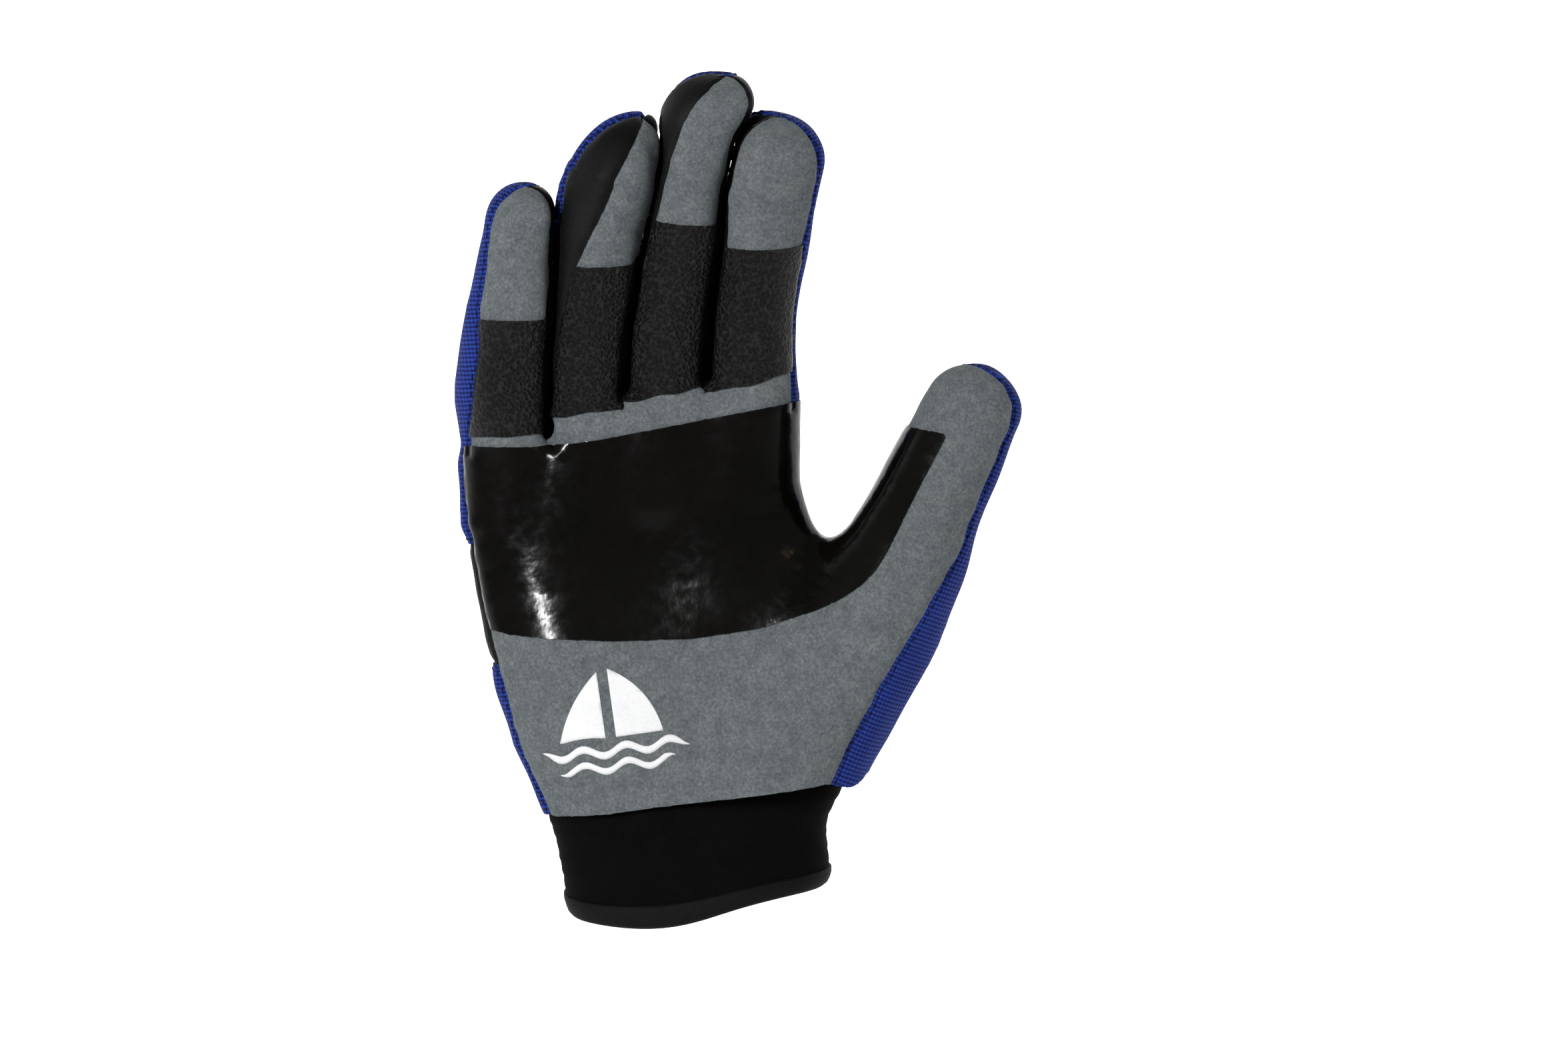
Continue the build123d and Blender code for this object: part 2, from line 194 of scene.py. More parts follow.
# ------------------------------ limbs
class Limb:
    """A bent finger-like volume: an axis line with a rounded section that varies along it."""

    def __init__(self, centres, s, lateral, pad, half, deep, cap, power, lean=0.0):
        self.c, self.s = np.array(centres, np.float32), np.array(s, np.float32)
        along = unit(np.gradient(self.c, axis=0))
        self.table = np.hstack([along, lateral, pad, np.c_[half, deep, self.s]]).astype(np.float32)
        self.cap, self.power, self.lean = cap, power, lean
        self.end_along = along[-1]

    def at(self, s):
        """The axis point at that distance, in metres."""
        return [float(np.interp(s, self.s, self.c[:, i])) * MM for i in range(3)]

    def read(self, points):
        """At each point: distance d to the surface, distance s along the axis, position x and y
        across it, the half width, and how far the rounded end stretches the texture (arc)."""
        n = len(points)
        best = np.full(n, 1e12, np.float32)
        seg = np.zeros(n, np.int32)
        share = np.zeros(n, np.float32)
        for i in range(len(self.c) - 1):
            step = self.c[i + 1] - self.c[i]
            rel = points - self.c[i]
            t = np.clip(rel @ step / (step @ step), 0, 1)
            rel = rel - t[:, None] * step
            r2 = np.einsum("ij,ij->i", rel, rel)
            closer = r2 < best
            best[closer], seg[closer], share[closer] = r2[closer], i, t[closer]
        w = share[:, None]
        centre = self.c[seg] * (1 - w) + self.c[seg + 1] * w
        row = self.table[seg] * (1 - w) + self.table[seg + 1] * w
        rel = points - centre
        along, lateral, pad = unit(row[:, 0:3]), unit(row[:, 3:6]), unit(row[:, 6:9])
        x, y = (rel * lateral).sum(1), (rel * pad).sum(1)
        beyond = (rel * along).sum(1)
        z = np.where((seg == len(self.c) - 2) & (share > 0.999), np.maximum(beyond, 0), 0)
        under = np.where((seg == 0) & (share < 0.001), np.maximum(-beyond, 0), 0)
        x = x - self.lean * z
        half, deep = row[:, 9], row[:, 10]
        p = self.power
        fx, fy, fz = np.abs(x) / half, np.abs(y) / deep, z / self.cap + under / half
        q = np.maximum((fx**p + fy**p + fz**p) ** (1 / p), 1e-4)
        slope = np.sqrt((fx ** (p - 1) / half) ** 2 + (fy ** (p - 1) / deep) ** 2
                        + (fz ** (p - 1) / self.cap) ** 2)
        slope = np.maximum(slope * q ** (1 - p), 0.25 / half)
        arc = self.cap * np.arcsin(np.clip(z / self.cap, 0, 0.98))
        return {"d": (q - 1) / slope, "s": row[:, 11] + z - under, "x": x, "y": y, "half": half,
                "arc": (arc - z)[:, None] * self.end_along}


def finger_limb(name):
    spec = FINGERS[name]
    names = (f"{name}_root", f"{name}_middle_joint", f"{name}_tip_joint")
    hinge = [np.array(joints[n]["pos_m"]) / MM for n in names]
    axis = np.array(joints[names[0]]["axis"], float)
    along = [unit(hinge[1] - hinge[0]), unit(hinge[2] - hinge[1])]
    along.append(turned(along[1], axis, TIP_BEND))
    lift = [np.cross(a, axis) * spec["depth"] for a in along]
    knots = [hinge[0] + lift[0], hinge[1] + (lift[0] + lift[1]) / 2, hinge[2] + (lift[1] + lift[2]) / 2]
    knots.append(knots[2] + along[2] * spec["last"])
    base = unit(along[0] * 0.75 + np.array((0, 0, 0.25)))
    knots.insert(0, knots[0] - base * 30)
    knots = np.array(knots)
    length = np.r_[-30, 0, np.cumsum(np.linalg.norm(np.diff(knots[1:], axis=0), axis=1))]
    end = length[-1] - spec["cap"]
    s = np.arange(FINGER_START, end, 1.0)
    line = np.c_[[np.interp(s, length, knots[:, i]) for i in range(3)]].T
    kernel = np.hanning(15)[1:-1]
    kernel /= kernel.sum()
    padded = np.vstack([np.repeat(line[:1], 6, 0), line, np.repeat(line[-1:], 6, 0)])
    padded[:6] += np.arange(-6, 0)[:, None] * (line[1] - line[0])
    padded[-6:] += np.arange(1, 7)[:, None] * (line[-1] - line[-2])
    line = np.c_[[np.convolve(padded[:, i], kernel, "valid") for i in range(3)]].T
    pick = np.unique(np.r_[np.arange(0, len(s), 4), len(s) - 1])
    s, line = s[pick], line[pick]
    rows = np.array(spec["rows"], float)
    shift, half, turn, front = (np.interp(s, rows[:, 0], rows[:, i]) for i in range(1, 5))
    tangent = unit(np.gradient(line, axis=0))
    pad0 = unit(np.cross(axis, tangent))
    c, sn = np.cos(np.radians(turn))[:, None], np.sin(np.radians(turn))[:, None]
    pad, lateral = pad0 * c + axis * sn, axis * c - pad0 * sn
    line = line + axis * shift[:, None]
    deep = half * 0.98 + 0.2
    limb = Limb(line, s, lateral, pad, half, deep, spec["cap"], FINGER_POWER, spec["lean"])
    limb.front = (s, front)
    return limb


def thumb_limb():
    rows = np.array(THUMB_ROWS, float)
    rows[-1, :3] -= unit(rows[-1, :3] - rows[-2, :3]) * 0.3
    t = np.r_[0, np.cumsum(np.linalg.norm(np.diff(rows[:, :3], axis=0), axis=1))]
    s = np.linspace(0, t[-1] - 7.0, 26)
    line = np.c_[[np.interp(s, t, rows[:, i]) for i in range(4)]].T
    for _ in range(3):
        line[1:-1] = line[1:-1] * 0.5 + (line[:-2] + line[2:]) * 0.25
    axis = np.array(joints["thumb_root"]["axis"], float)
    tangent = unit(np.gradient(line[:, :3], axis=0))
    pad = unit(np.cross(axis, tangent))
    lateral = unit(np.cross(tangent, pad))
    return Limb(line[:, :3], s, lateral, pad, line[:, 3], line[:, 3] * 0.95, THUMB_CAP, THUMB_POWER)


limbs = [finger_limb(n) for n in NAMES]
thumb = thumb_limb()
thumb_root_at, thumb_tip_at = (np.array(joints[n]["pos_m"]) for n in ("thumb_root", "thumb_tip_joint"))
thumb_along = unit(thumb_tip_at - thumb_root_at)


# ------------------------------ the palm and the whole surface
def section(z):
    """The palm's centre x, half width, centre y, front y and back y at a height."""
    left, right, front, back = (np.interp(z, PALM[:, 0], PALM[:, i]) for i in range(1, 5))
    return (left + right) / 2, (right - left) / 2, (front + back) / 2, front, back


def bump(x, z, height, x0, z0, rx, rz):
    return height * np.exp(-(((x - x0) / rx) ** 2) - ((z - z0) / rz) ** 2)


def palm_field(points):
    x, y, z = points.T
    cx, half, cy, front, back = section(z)
    deep = np.where(
        y < cy,
        cy - front - bump(x, z, *PALM_HOLLOW) + bump(x, z, *HEEL_PAD),
        back - cy,
    )
    fx, fy = np.abs(x - cx) / half, np.abs(y - cy) / deep
    p = PALM_POWER
    q = np.maximum((fx**p + fy**p) ** (1 / p), 1e-4)
    slope = np.hypot(fx ** (p - 1) / half, fy ** (p - 1) / deep) * q ** (1 - p)
    d = (q - 1) / np.maximum(slope, 0.5 / half)
    top = np.interp(x, TOP_X, TOP_Z)
    return smax(d, z - top, 4.0)


def snake(points, i):
    """Sideways shift of the gap between fingers i and i + 1, which winds through the depth."""
    _, y, z = points.T
    middle = sum(np.interp(z, limb.c[:, 2], limb.c[:, 1]) for limb in limbs[i:i + 2]) / 2
    t = y - middle
    return GAP_WAVE * np.sin(t * (2 * math.pi / GAP_PITCH)) * np.exp(-((t / GAP_REACH) ** 2))


def field(points, full=False):
    """Distance to the glove's surface, negative inside."""
    points = points.astype(np.float32)
    palm = palm_field(points)
    th = thumb.read(points)
    body = smin(palm, th["d"], WEB + bump(points[:, 0], points[:, 2], *WEB_FILL))
    reads = [limb.read(points) for limb in limbs]
    ds = [r["d"] for r in reads]
    total = body
    winding = [snake(points, i) for i in range(len(ds) - 1)]
    for i, d in enumerate(ds):
        for j in (i - 1, i + 1):
            if 0 <= j < len(ds):
                own_side = (ds[i] - ds[j]) / 2 + winding[min(i, j)] * (j - i) + FINGER_GAP / 2
                d = smax(d, own_side, GAP_ROUND)
        total = np.minimum(total, smin(body, d, FINGER_BLEND))
    return (total, palm, th, reads) if full else total


def gradient(points, h=0.25):
    return np.c_[[(field(points + e * h) - field(points - e * h)) / (2 * h) for e in np.eye(3)]].T


# ------------------------------ meshing
STEP = 0.86
BLOCK = 5  # grid cells along a block's side
GRID_LOW, GRID_HIGH = np.array((-60.0, -38.0, 20.0)), np.array((106.0, 26.0, 232.0))
PROJECTIONS = 3  # steps that move the vertices onto the surface


def sample_grid():
    """The field on a grid: every point near the surface, and one point per block elsewhere."""
    n = (np.ceil((GRID_HIGH - GRID_LOW) / (STEP * BLOCK)).astype(int)) * BLOCK
    axes = [GRID_LOW[i] + STEP * np.arange(n[i] + 1) for i in range(3)]

    def fill(blocks):
        for axis in range(3):
            blocks = np.repeat(blocks, BLOCK, axis)
        return blocks[: n[0] + 1, : n[1] + 1, : n[2] + 1].copy()

    coarse = np.stack(np.meshgrid(*[a[::BLOCK] for a in axes], indexing="ij"), -1)
    d = field(coarse.reshape(-1, 3)).reshape(coarse.shape[:3])
    volume = fill(d)
    near = np.abs(d) < STEP * BLOCK * 1.5
    grown = near.copy()
    for axis in range(3):
        for shift in (-1, 1):
            grown |= np.roll(near, shift, axis)
    ijk = np.argwhere(fill(grown))
    volume[tuple(ijk.T)] = field(GRID_LOW + STEP * ijk)
    return volume


def surface_net(volume):
    """One vertex per mixed cell, one quad per crossed grid edge."""
    inside = volume < 0
    corners = [(i, j, k) for i in (0, 1) for j in (0, 1) for k in (0, 1)]
    nx, ny, nz = (n - 1 for n in volume.shape)
    count = sum(inside[i : i + nx, j : j + ny, k : k + nz].astype(np.int8) for i, j, k in corners)
    cell = np.argwhere((count > 0) & (count < 8))
    index = np.full((nx, ny, nz), -1, np.int32)
    index[tuple(cell.T)] = np.arange(len(cell))
    total, hits = np.zeros((len(cell), 3)), np.zeros(len(cell))
    for a in corners:
        for b in corners:
            if sum(b) - sum(a) == 1 and all(q >= p for p, q in zip(a, b)):
                da, db = volume[tuple((cell + a).T)], volume[tuple((cell + b).T)]
                m = (da < 0) != (db < 0)
                t = np.where(m, da / np.where(m, da - db, 1), 0)
                total[m] += (np.array(a) + t[:, None] * (np.array(b) - np.array(a)))[m]
                hits[m] += 1
    verts = GRID_LOW + STEP * (cell + total / hits[:, None])
    tris = []
    for axis in range(3):
        u, v = (axis + 1) % 3, (axis + 2) % 3
        size = list(volume.shape)
        a = [slice(None)] * 3
        b = [slice(None)] * 3
        a[axis], b[axis] = slice(0, size[axis] - 1), slice(1, size[axis])
        change = inside[tuple(a)] != inside[tuple(b)]
        at = np.argwhere(change)
        at = at[(at[:, u] > 0) & (at[:, v] > 0) & (at[:, u] < size[u] - 1) & (at[:, v] < size[v] - 1)]
        eu, ev = np.eye(3, dtype=int)[u], np.eye(3, dtype=int)[v]
        quad = np.c_[tuple(index[tuple((at - o).T)] for o in (eu + ev, ev, 0 * eu, eu))]
        flip = ~inside[tuple(at.T)]
        quad[flip] = quad[flip][:, ::-1]
        tris.append(quad)
    quads = np.vstack(tris)
    d1 = np.linalg.norm(verts[quads[:, 0]] - verts[quads[:, 2]], axis=1)
    d2 = np.linalg.norm(verts[quads[:, 1]] - verts[quads[:, 3]], axis=1)
    short = (d1 <= d2)[:, None]
    first = np.where(short, quads[:, [0, 1, 2]], quads[:, [0, 1, 3]])
    second = np.where(short, quads[:, [0, 2, 3]], quads[:, [1, 2, 3]])
    return verts, np.vstack([first, second])


def to_segment(x, z, start, end):
    """Offsets from the nearest point of a segment in the X-Z plane, and the segment's own run."""
    (x0, z0), (x1, z1) = start, end
    ex, ez = x1 - x0, z1 - z0
    t = np.clip(((x - x0) * ex + (z - z0) * ez) / (ex * ex + ez * ez), 0, 1)
    return x - x0 - t * ex, z - z0 - t * ez, ex, ez


def polyline_side(x, z, points):
    """Distance to an open polyline in the X-Z plane, positive on its right-hand (outer) side."""
    best = np.full(len(x), 1e9)
    side = np.ones(len(x))
    for start, end in zip(points[:-1], points[1:]):
        dx, dz, ex, ez = to_segment(x, z, start, end)
        d = np.hypot(dx, dz)
        closer = d < best
        best = np.where(closer, d, best)
        side = np.where(closer, np.sign(ez * dx - ex * dz), side)
    return best * side


def polygon_field(x, z, points):
    """Signed distance to a closed outline in the X-Z plane, negative inside."""
    best = np.full(len(x), 1e9)
    inside = np.zeros(len(x), bool)
    for start, end in zip(points, points[1:] + points[:1]):
        dx, dz, ex, ez = to_segment(x, z, start, end)
        best = np.minimum(best, np.hypot(dx, dz))
        crosses = (start[1] > z) != (end[1] > z)
        if abs(ez) > 1e-9:
            inside ^= crosses & (x < start[0] + (z - start[1]) / ez * ex)
    return np.where(inside, -best, best)


class Net:
    """The surface: vertices, triangles and named columns of per-vertex numbers."""

    def __init__(self, verts, tris):
        self.v, self.f = verts, tris
        self.col, self.a = {}, np.zeros((len(verts), 0))

    def add(self, **columns):
        for name, values in columns.items():
            self.col[name] = self.a.shape[1]
            self.a = np.c_[self.a, values]

    def get(self, name):
        return self.a[:, self.col[name]]

    def mean(self, name):
        return self.get(name)[self.f].mean(1)

    def cut(self, f, mask, snap=0.14):
        """Splits the masked triangles' edges where f changes sign, and their neighbours to match."""
        sign = np.where(np.abs(f) < snap, 0, np.sign(f))
        n = len(self.v)
        tri = self.f
        ends = np.stack([tri, np.roll(tri, -1, 1)], -1)
        crossing = (sign[ends[..., 0]] * sign[ends[..., 1]]) < 0
        keys = ends.min(-1).astype(np.int64) * n + ends.max(-1)
        wanted = np.unique(keys[crossing & mask[:, None]])
        if not len(wanted):
            return
        lo, hi = wanted // n, wanted % n
        t = (f[lo] / (f[lo] - f[hi]))[:, None]
        self.v = np.vstack([self.v, self.v[lo] * (1 - t) + self.v[hi] * t])
        self.a = np.vstack([self.a, self.a[lo] * (1 - t) + self.a[hi] * t])
        where = np.clip(np.searchsorted(wanted, keys), 0, len(wanted) - 1)
        split = wanted[where] == keys
        new = np.where(split, n + where, -1)
        number = split.sum(1)
        out = [tri[number == 0]]
        for corner in range(3):
            a, b, c = tri[:, corner], tri[:, (corner + 1) % 3], tri[:, (corner + 2) % 3]
            one = (number == 1) & split[:, corner]
            m = new[one, corner]
            out += [np.c_[a[one], m, c[one]], np.c_[m, b[one], c[one]]]
            two = (number == 2) & split[:, corner] & split[:, (corner + 1) % 3]
            m1, m2 = new[two, corner], new[two, (corner + 1) % 3]
            out += [np.c_[m1, b[two], m2], np.c_[a[two], m1, m2], np.c_[a[two], m2, c[two]]]
        self.f = np.vstack(out)


def build_net():
    verts, tris = surface_net(sample_grid())
    for _ in range(PROJECTIONS):
        d, g = field(verts), gradient(verts)
        verts = verts - (d / np.maximum((g * g).sum(1), 0.2))[:, None] * g * 0.9
    return Net(verts, tris)


net = build_net()
_, palm, th, reads = field(net.v, full=True)
normal = unit(gradient(net.v))
x, y, z = net.v.T
ds = np.c_[tuple(r["d"] for r in reads)]
root_line = np.minimum(z - np.interp(x, ROOT_X, ROOT_Z), (th["d"] - ds.min(1)) / 2)
along_thumb = net.v @ thumb_along
nearest = ds.argmin(1)
texture_at = net.v.copy()
for i, r in enumerate(reads):
    texture_at += np.where((nearest == i)[:, None], r["arc"], 0)
texture_at += np.where((th["d"] < ds.min(1))[:, None], th["arc"], 0)
net.add(nx=normal[:, 0], ny=normal[:, 1], nz=normal[:, 2], bx=x, by=y, bz=z, root=root_line,
        tx=texture_at[:, 0], ty=texture_at[:, 1], tz=texture_at[:, 2])
for i in range(3):
    net.add(**{f"pair{i}": (ds[:, i] - ds[:, i + 1]) / 2 + snake(net.v, i)})
for i, (n, r) in enumerate(zip(NAMES, reads)):
    angle = np.arctan2(r["x"], r["y"])
    front = np.interp(r["s"], *limbs[i].front)
    size = r["half"]
    spec = FINGERS[n]
    net.add(**{f"s_{n}": r["s"], f"side_{n}": r["x"], f"cut_{n}": r["s"] - CUT_SLANT * r["x"],
               f"low_{n}": (r["s"] - spec["slant"] * r["x"] - GRIP_START
                            + GRIP_WAVER * waves(net.v, 5.0, 21 + i)),
               f"d_{n}": r["d"], f"front_{n}": (np.abs(angle) - np.radians(front)) * size,
               f"back_{n}": (np.abs(angle) - np.radians(SIDE_SEAM)) * size})
cx, half, cy, _, _ = section(z)
tilt = 0.185 - 0.285 * (x - cx) / half
palm_front = y - cy + tilt * np.interp(z, PALM[:, 0], (PALM[:, 4] - PALM[:, 3]) / 2)
thumb_front = smax(1.0 - th["y"], polyline_side(x, z, THUMB_SEAM), 1.5)
lean = 1 / (1 + np.exp(-np.clip((palm - th["d"]) / 2.0, -30, 30)))
hand_front = palm_front * (1 - lean) + thumb_front * lean
hand_front = hand_front + bump(x, z, *WEB_SEAM)
net.add(hand_front=hand_front, thumb_s=along_thumb,
        thumb_zone=np.minimum(along_thumb - THUMB_ZONE[0], (palm - th["d"]) / 2 + 1.0),
        thumb_back=(palm - th["d"]) / 2 + 1.0,
        gloss=polygon_field(x, z, GLOSS_OUTLINE),
        gusset=5.0 * (((z - 83.5) / 16.5) ** 2 + ((x - cx + half) / 11.0) ** 2 - 1),
        floor=z - (28.8 + 0.06 * x + 0.05 * y - 0.45 * np.maximum(x - 36, 0)
                   + 0.12 * np.clip(x - 41, 0, 6) ** 2))

net.cut(net.get("floor"), np.ones(len(net.f), bool))
net.f = net.f[net.mean("floor") > 0]
net.cut(net.get("root"), np.ones(len(net.f), bool))
for i in range(3):
    net.cut(net.get(f"pair{i}"), net.mean("root") > 0)
net.cut(net.get("thumb_zone"), net.mean("root") < 0)


def limb_of_faces():
    """0 to 3: a finger, 4: the thumb beyond its root, 5: the hand."""
    label = np.full(len(net.f), 5)
    finger = net.mean("root") > 0
    pick = sum((net.mean(f"pair{i}") > 0).astype(int) for i in range(3))
    label[finger] = pick[finger]
    label[(~finger) & (net.mean("thumb_zone") > 0)] = 4
    return label


for i, n in enumerate(NAMES):
    net.cut(net.get(f"low_{n}"), limb_of_faces() == i)
    for level in FINGERS[n]["cuts"]:
        net.cut(net.get(f"cut_{n}") - level, limb_of_faces() == i)
    net.cut(net.get(f"front_{n}"), limb_of_faces() == i)
    net.cut(net.get(f"back_{n}"), limb_of_faces() == i)
net.cut(net.get("thumb_s") - THUMB_ZONE[1], limb_of_faces() == 4)
net.cut(net.get("hand_front"), limb_of_faces() >= 4)
net.cut(net.get("gloss"), (limb_of_faces() >= 4) & (net.mean("hand_front") < 0))
net.cut(net.get("gusset"), (limb_of_faces() == 5) & (net.mean("hand_front") > 0))
net.cut(net.get("thumb_back"), (limb_of_faces() == 5) & (net.mean("hand_front") > 0))
label = limb_of_faces()

# ------------------------------ grooves, puckers and wrinkles
def seam_distance():
    """How far each vertex is from the nearest seam."""
    d = np.full(len(net.v), 50.0)
    in_hand = net.get("root") < 0.5
    d = np.where(in_hand, np.minimum(d, np.abs(net.get("hand_front"))), d)
    back = in_hand & (net.get("hand_front") > -0.3)
    d = np.where(back, np.minimum(d, np.abs(net.get("thumb_back")) + np.maximum(net.get("thumb_zone"), 0)), d)
    d = np.where(back & (net.get("thumb_back") < 1), np.minimum(d, np.abs(net.get("gusset"))), d)
    near = np.argmin(np.c_[tuple(net.get(f"d_{n}") for n in NAMES)], 1)
    for i, n in enumerate(NAMES):
        mine = (near == i) & (net.get("root") > -3)
        below = np.maximum(FINGERS[n]["crotch"] - net.get(f"s_{n}"), 0)
        side = net.get(f"side_{n}")
        outer = (n == "little") & (side < 0) | (n == "index") & (side > 0)
        front = np.abs(net.get(f"front_{n}")) + np.where(outer, 0, below)
        rear = np.abs(net.get(f"back_{n}")) + np.where(outer, 50, below)
        d = np.where(mine, np.minimum(d, np.minimum(front, rear)), d)
    return d


# Folds on the pads: distance past the finger's upper cut, depth, width.
CREASES = ((3.0, 0.35, 1.3), (10.5, 0.45, 1.6), (13.9, 0.25, 1.1))


def near_joint_creases():
    """Shallow folds across the pad side, where the fingers bend."""
    depth = np.zeros(len(net.v))
    for i, n in enumerate(NAMES):
        past = net.get(f"s_{n}") - FINGERS[n]["cuts"][1]
        mine = net.get("root") > 0
        for j in (i - 1, i):
            if 0 <= j < 3:
                mine &= (net.get(f"pair{j}") > 0) if j == i - 1 else (net.get(f"pair{j}") < 0)
        soft = np.clip(-net.get(f"front_{n}") / 6, 0, 1)
        wobble = 0.8 * np.sin(net.get(f"side_{n}") * 0.45 + i)
        for at, size, wide in CREASES:
            depth += np.where(mine, soft * size * np.exp(-(((past - at - wobble) / wide) ** 2)), 0)
    return depth


base = np.c_[net.get("bx"), net.get("by"), net.get("bz")]
outward = unit(np.c_[net.get("nx"), net.get("ny"), net.get("nz")])
dist = seam_distance()
# A narrow puckered groove along each seam, in a wider hollow.
GROOVE, GROOVE_WIDTH, PUCKER = 0.62, 1.0, 0.35
HOLLOW, HOLLOW_WIDTH = 0.22, 3.2
sink = GROOVE * np.exp(-((dist / GROOVE_WIDTH) ** 2)) * (1 + PUCKER * waves(base, 2.2, 3))
sink += HOLLOW * np.exp(-((dist / HOLLOW_WIDTH) ** 2))
sink += near_joint_creases()
x, y, z = base.T
# The fold below the little and ring fingers, the crease in the strip, the edge strip's flared end.
groove = np.exp(-(((x + 27.8 + 0.05 * (z - 125)) / 1.1) ** 2)) * np.clip((z - 122.5) / 3, 0, 1)
sink += 1.3 * groove * (y < -4) * np.clip((134 - z) / 4, 0, 1)
crease = (x + 17.5) * 0.86 - (z - 128.5) * 0.5
sink += np.exp(-((crease / 0.8) ** 2)) * bump(x, z, 0.9, -17.5, 128.5, 4, 4) * (y < -4)
sink -= 0.5 * np.exp(-(((z - 104.8) / 2.2) ** 2)) * (z > 99.9) * np.clip((-46 - x) / 6, 0, 1)
# The glossy patch is stiffer, so it stays smooth.
taut = np.clip(-net.get("gloss") / 5 + 0.6, 0, 1) * np.clip(-y / 4, 0, 1)
calm = np.clip(dist / 4, 0, 1) * (1 - 0.85 * taut * np.clip(-net.get("root") / 4, 0, 1))
net.v = base + outward * (swell(base) * calm - sink)[:, None]


def weld_normals(verts, tris):
    """Vertex normals of the whole surface, the same for every copy of a point."""
    cross = np.cross(verts[tris[:, 1]] - verts[tris[:, 0]], verts[tris[:, 2]] - verts[tris[:, 0]])
    out = np.zeros_like(verts)
    for k in range(3):
        np.add.at(out, tris[:, k], cross)
    return unit(out)


smooth_normal = weld_normals(net.v, net.f)

# ------------------------------ materials
class Nodes:
    """A small helper for building one material's node tree."""

    def __init__(self, name):
        self.mat = bpy.data.materials.new(name)
        self.mat.use_nodes = True
        self.tree = self.mat.node_tree
        self.bsdf = self.tree.nodes["Principled BSDF"]
        self.rest = self.node("ShaderNodeAttribute", attribute_name="rest").outputs["Vector"]

    def node(self, kind, vector=None, values=(), **props):
        """A new node with its vector input, its other inputs' values and its properties."""
        n = self.tree.nodes.new(kind)
        for k, v in props.items():
            setattr(n, k, v)
        if vector:
            self.link(vector, n.inputs["Vector"])
        for k, v in dict(values).items():
            n.inputs[k].default_value = v
        return n

    def link(self, a, b):
        self.tree.links.new(a, b)

    def noise(self, scale, detail, rough):
        values = {"Scale": scale, "Detail": detail, "Roughness": rough}
        return self.node("ShaderNodeTexNoise", self.rest, values).outputs["Fac"]

    def cells(self, scale):
        return self.node("ShaderNodeTexVoronoi", self.rest, {"Scale": scale}).outputs["Distance"]

    def bands(self, pitch, direction, distortion):
        """Stripes a given pitch in metres apart."""
        values = {"Scale": math.pi / 10 / pitch, "Distortion": distortion, "Detail": 2.0,
                  "Detail Scale": 1.5}
        n = self.node("ShaderNodeTexWave", self.rest, values, bands_direction=direction)
        return n.outputs["Fac"]

    def math(self, op, a, b):
        n = self.node("ShaderNodeMath", operation=op)
        for i, v in enumerate((a, b)):
            if isinstance(v, (int, float)):
                n.inputs[i].default_value = v
            else:
                self.link(v, n.inputs[i])
        return n.outputs[0]

    def mix(self, a, b, share):
        """Two heights in one, with the given share of the first."""
        rest = round(1 - share, 4)
        return self.math("ADD", self.math("MULTIPLY", a, share), self.math("MULTIPLY", b, rest))

    def ramp(self, value, stops):
        n = self.node("ShaderNodeValToRGB")
        self.link(value, n.inputs["Fac"])
        ramp = n.color_ramp
        while len(ramp.elements) < len(stops):
            ramp.elements.new(0.5)
        for e, (at, color) in zip(ramp.elements, stops):
            e.position, e.color = at, (*color, 1)
        return n.outputs["Color"]

    def spread(self, value, low, high, to_low, to_high):
        values = {"From Min": low, "From Max": high, "To Min": to_low, "To Max": to_high}
        n = self.node("ShaderNodeMapRange", values=values)
        self.link(value, n.inputs["Value"])
        return n.outputs["Result"]

    def bump(self, height, strength, distance, normal=None):
        n = self.node("ShaderNodeBump", values={"Strength": strength, "Distance": distance})
        self.link(height, n.inputs["Height"])
        if normal:
            self.link(normal, n.inputs["Normal"])
        return n.outputs["Normal"]

    def finish(self, color, rough, normal, **sockets):
        self.link(color, self.bsdf.inputs["Base Color"])
        if isinstance(rough, float):
            self.bsdf.inputs["Roughness"].default_value = rough
        else:
            self.link(rough, self.bsdf.inputs["Roughness"])
        self.link(normal, self.bsdf.inputs["Normal"])
        for k, v in sockets.items():
            self.bsdf.inputs[k.replace("_", " ")].default_value = v
        return self.mat


def srgb(r, g, b):
    return tuple(((c / 255 + 0.055) / 1.055) ** 2.4 if c > 10 else c / 255 / 12.92 for c in (r, g, b))


def suede():
    n = Nodes("suede_grey")
    fine, patch = n.noise(1300, 4, 0.75), n.noise(260, 4, 0.6)
    color = n.ramp(n.mix(fine, patch, 0.72),
                   ((0.30, srgb(60, 65, 68)), (0.5, srgb(87, 92, 94)), (0.70, srgb(116, 120, 121))))
    nap = n.bump(n.noise(2400, 3, 0.7), 0.6, 0.00015, n.bump(patch, 0.3, 0.0004))
    return n.finish(color, n.spread(patch, 0.3, 0.7, 0.86, 0.98), nap, Sheen_Weight=0.05,
                    Sheen_Roughness=0.5, Specular_IOR_Level=0.12)


def grip():
    n = Nodes("grip_black")
    grain = n.cells(1150)
    rough_noise = n.noise(1150, 4, 0.75)
    lump = n.math("ADD", n.math("MULTIPLY", grain, 0.6), n.math("MULTIPLY", rough_noise, 0.6))
    color = n.ramp(lump, ((0.30, srgb(4, 4, 4)), (0.58, srgb(6, 6, 6)), (0.78, srgb(30, 30, 29))))
    normal = n.bump(lump, 1.0, 0.0010)
    return n.finish(color, n.spread(rough_noise, 0.35, 0.7, 0.45, 0.25), normal, Specular_IOR_Level=0.2)


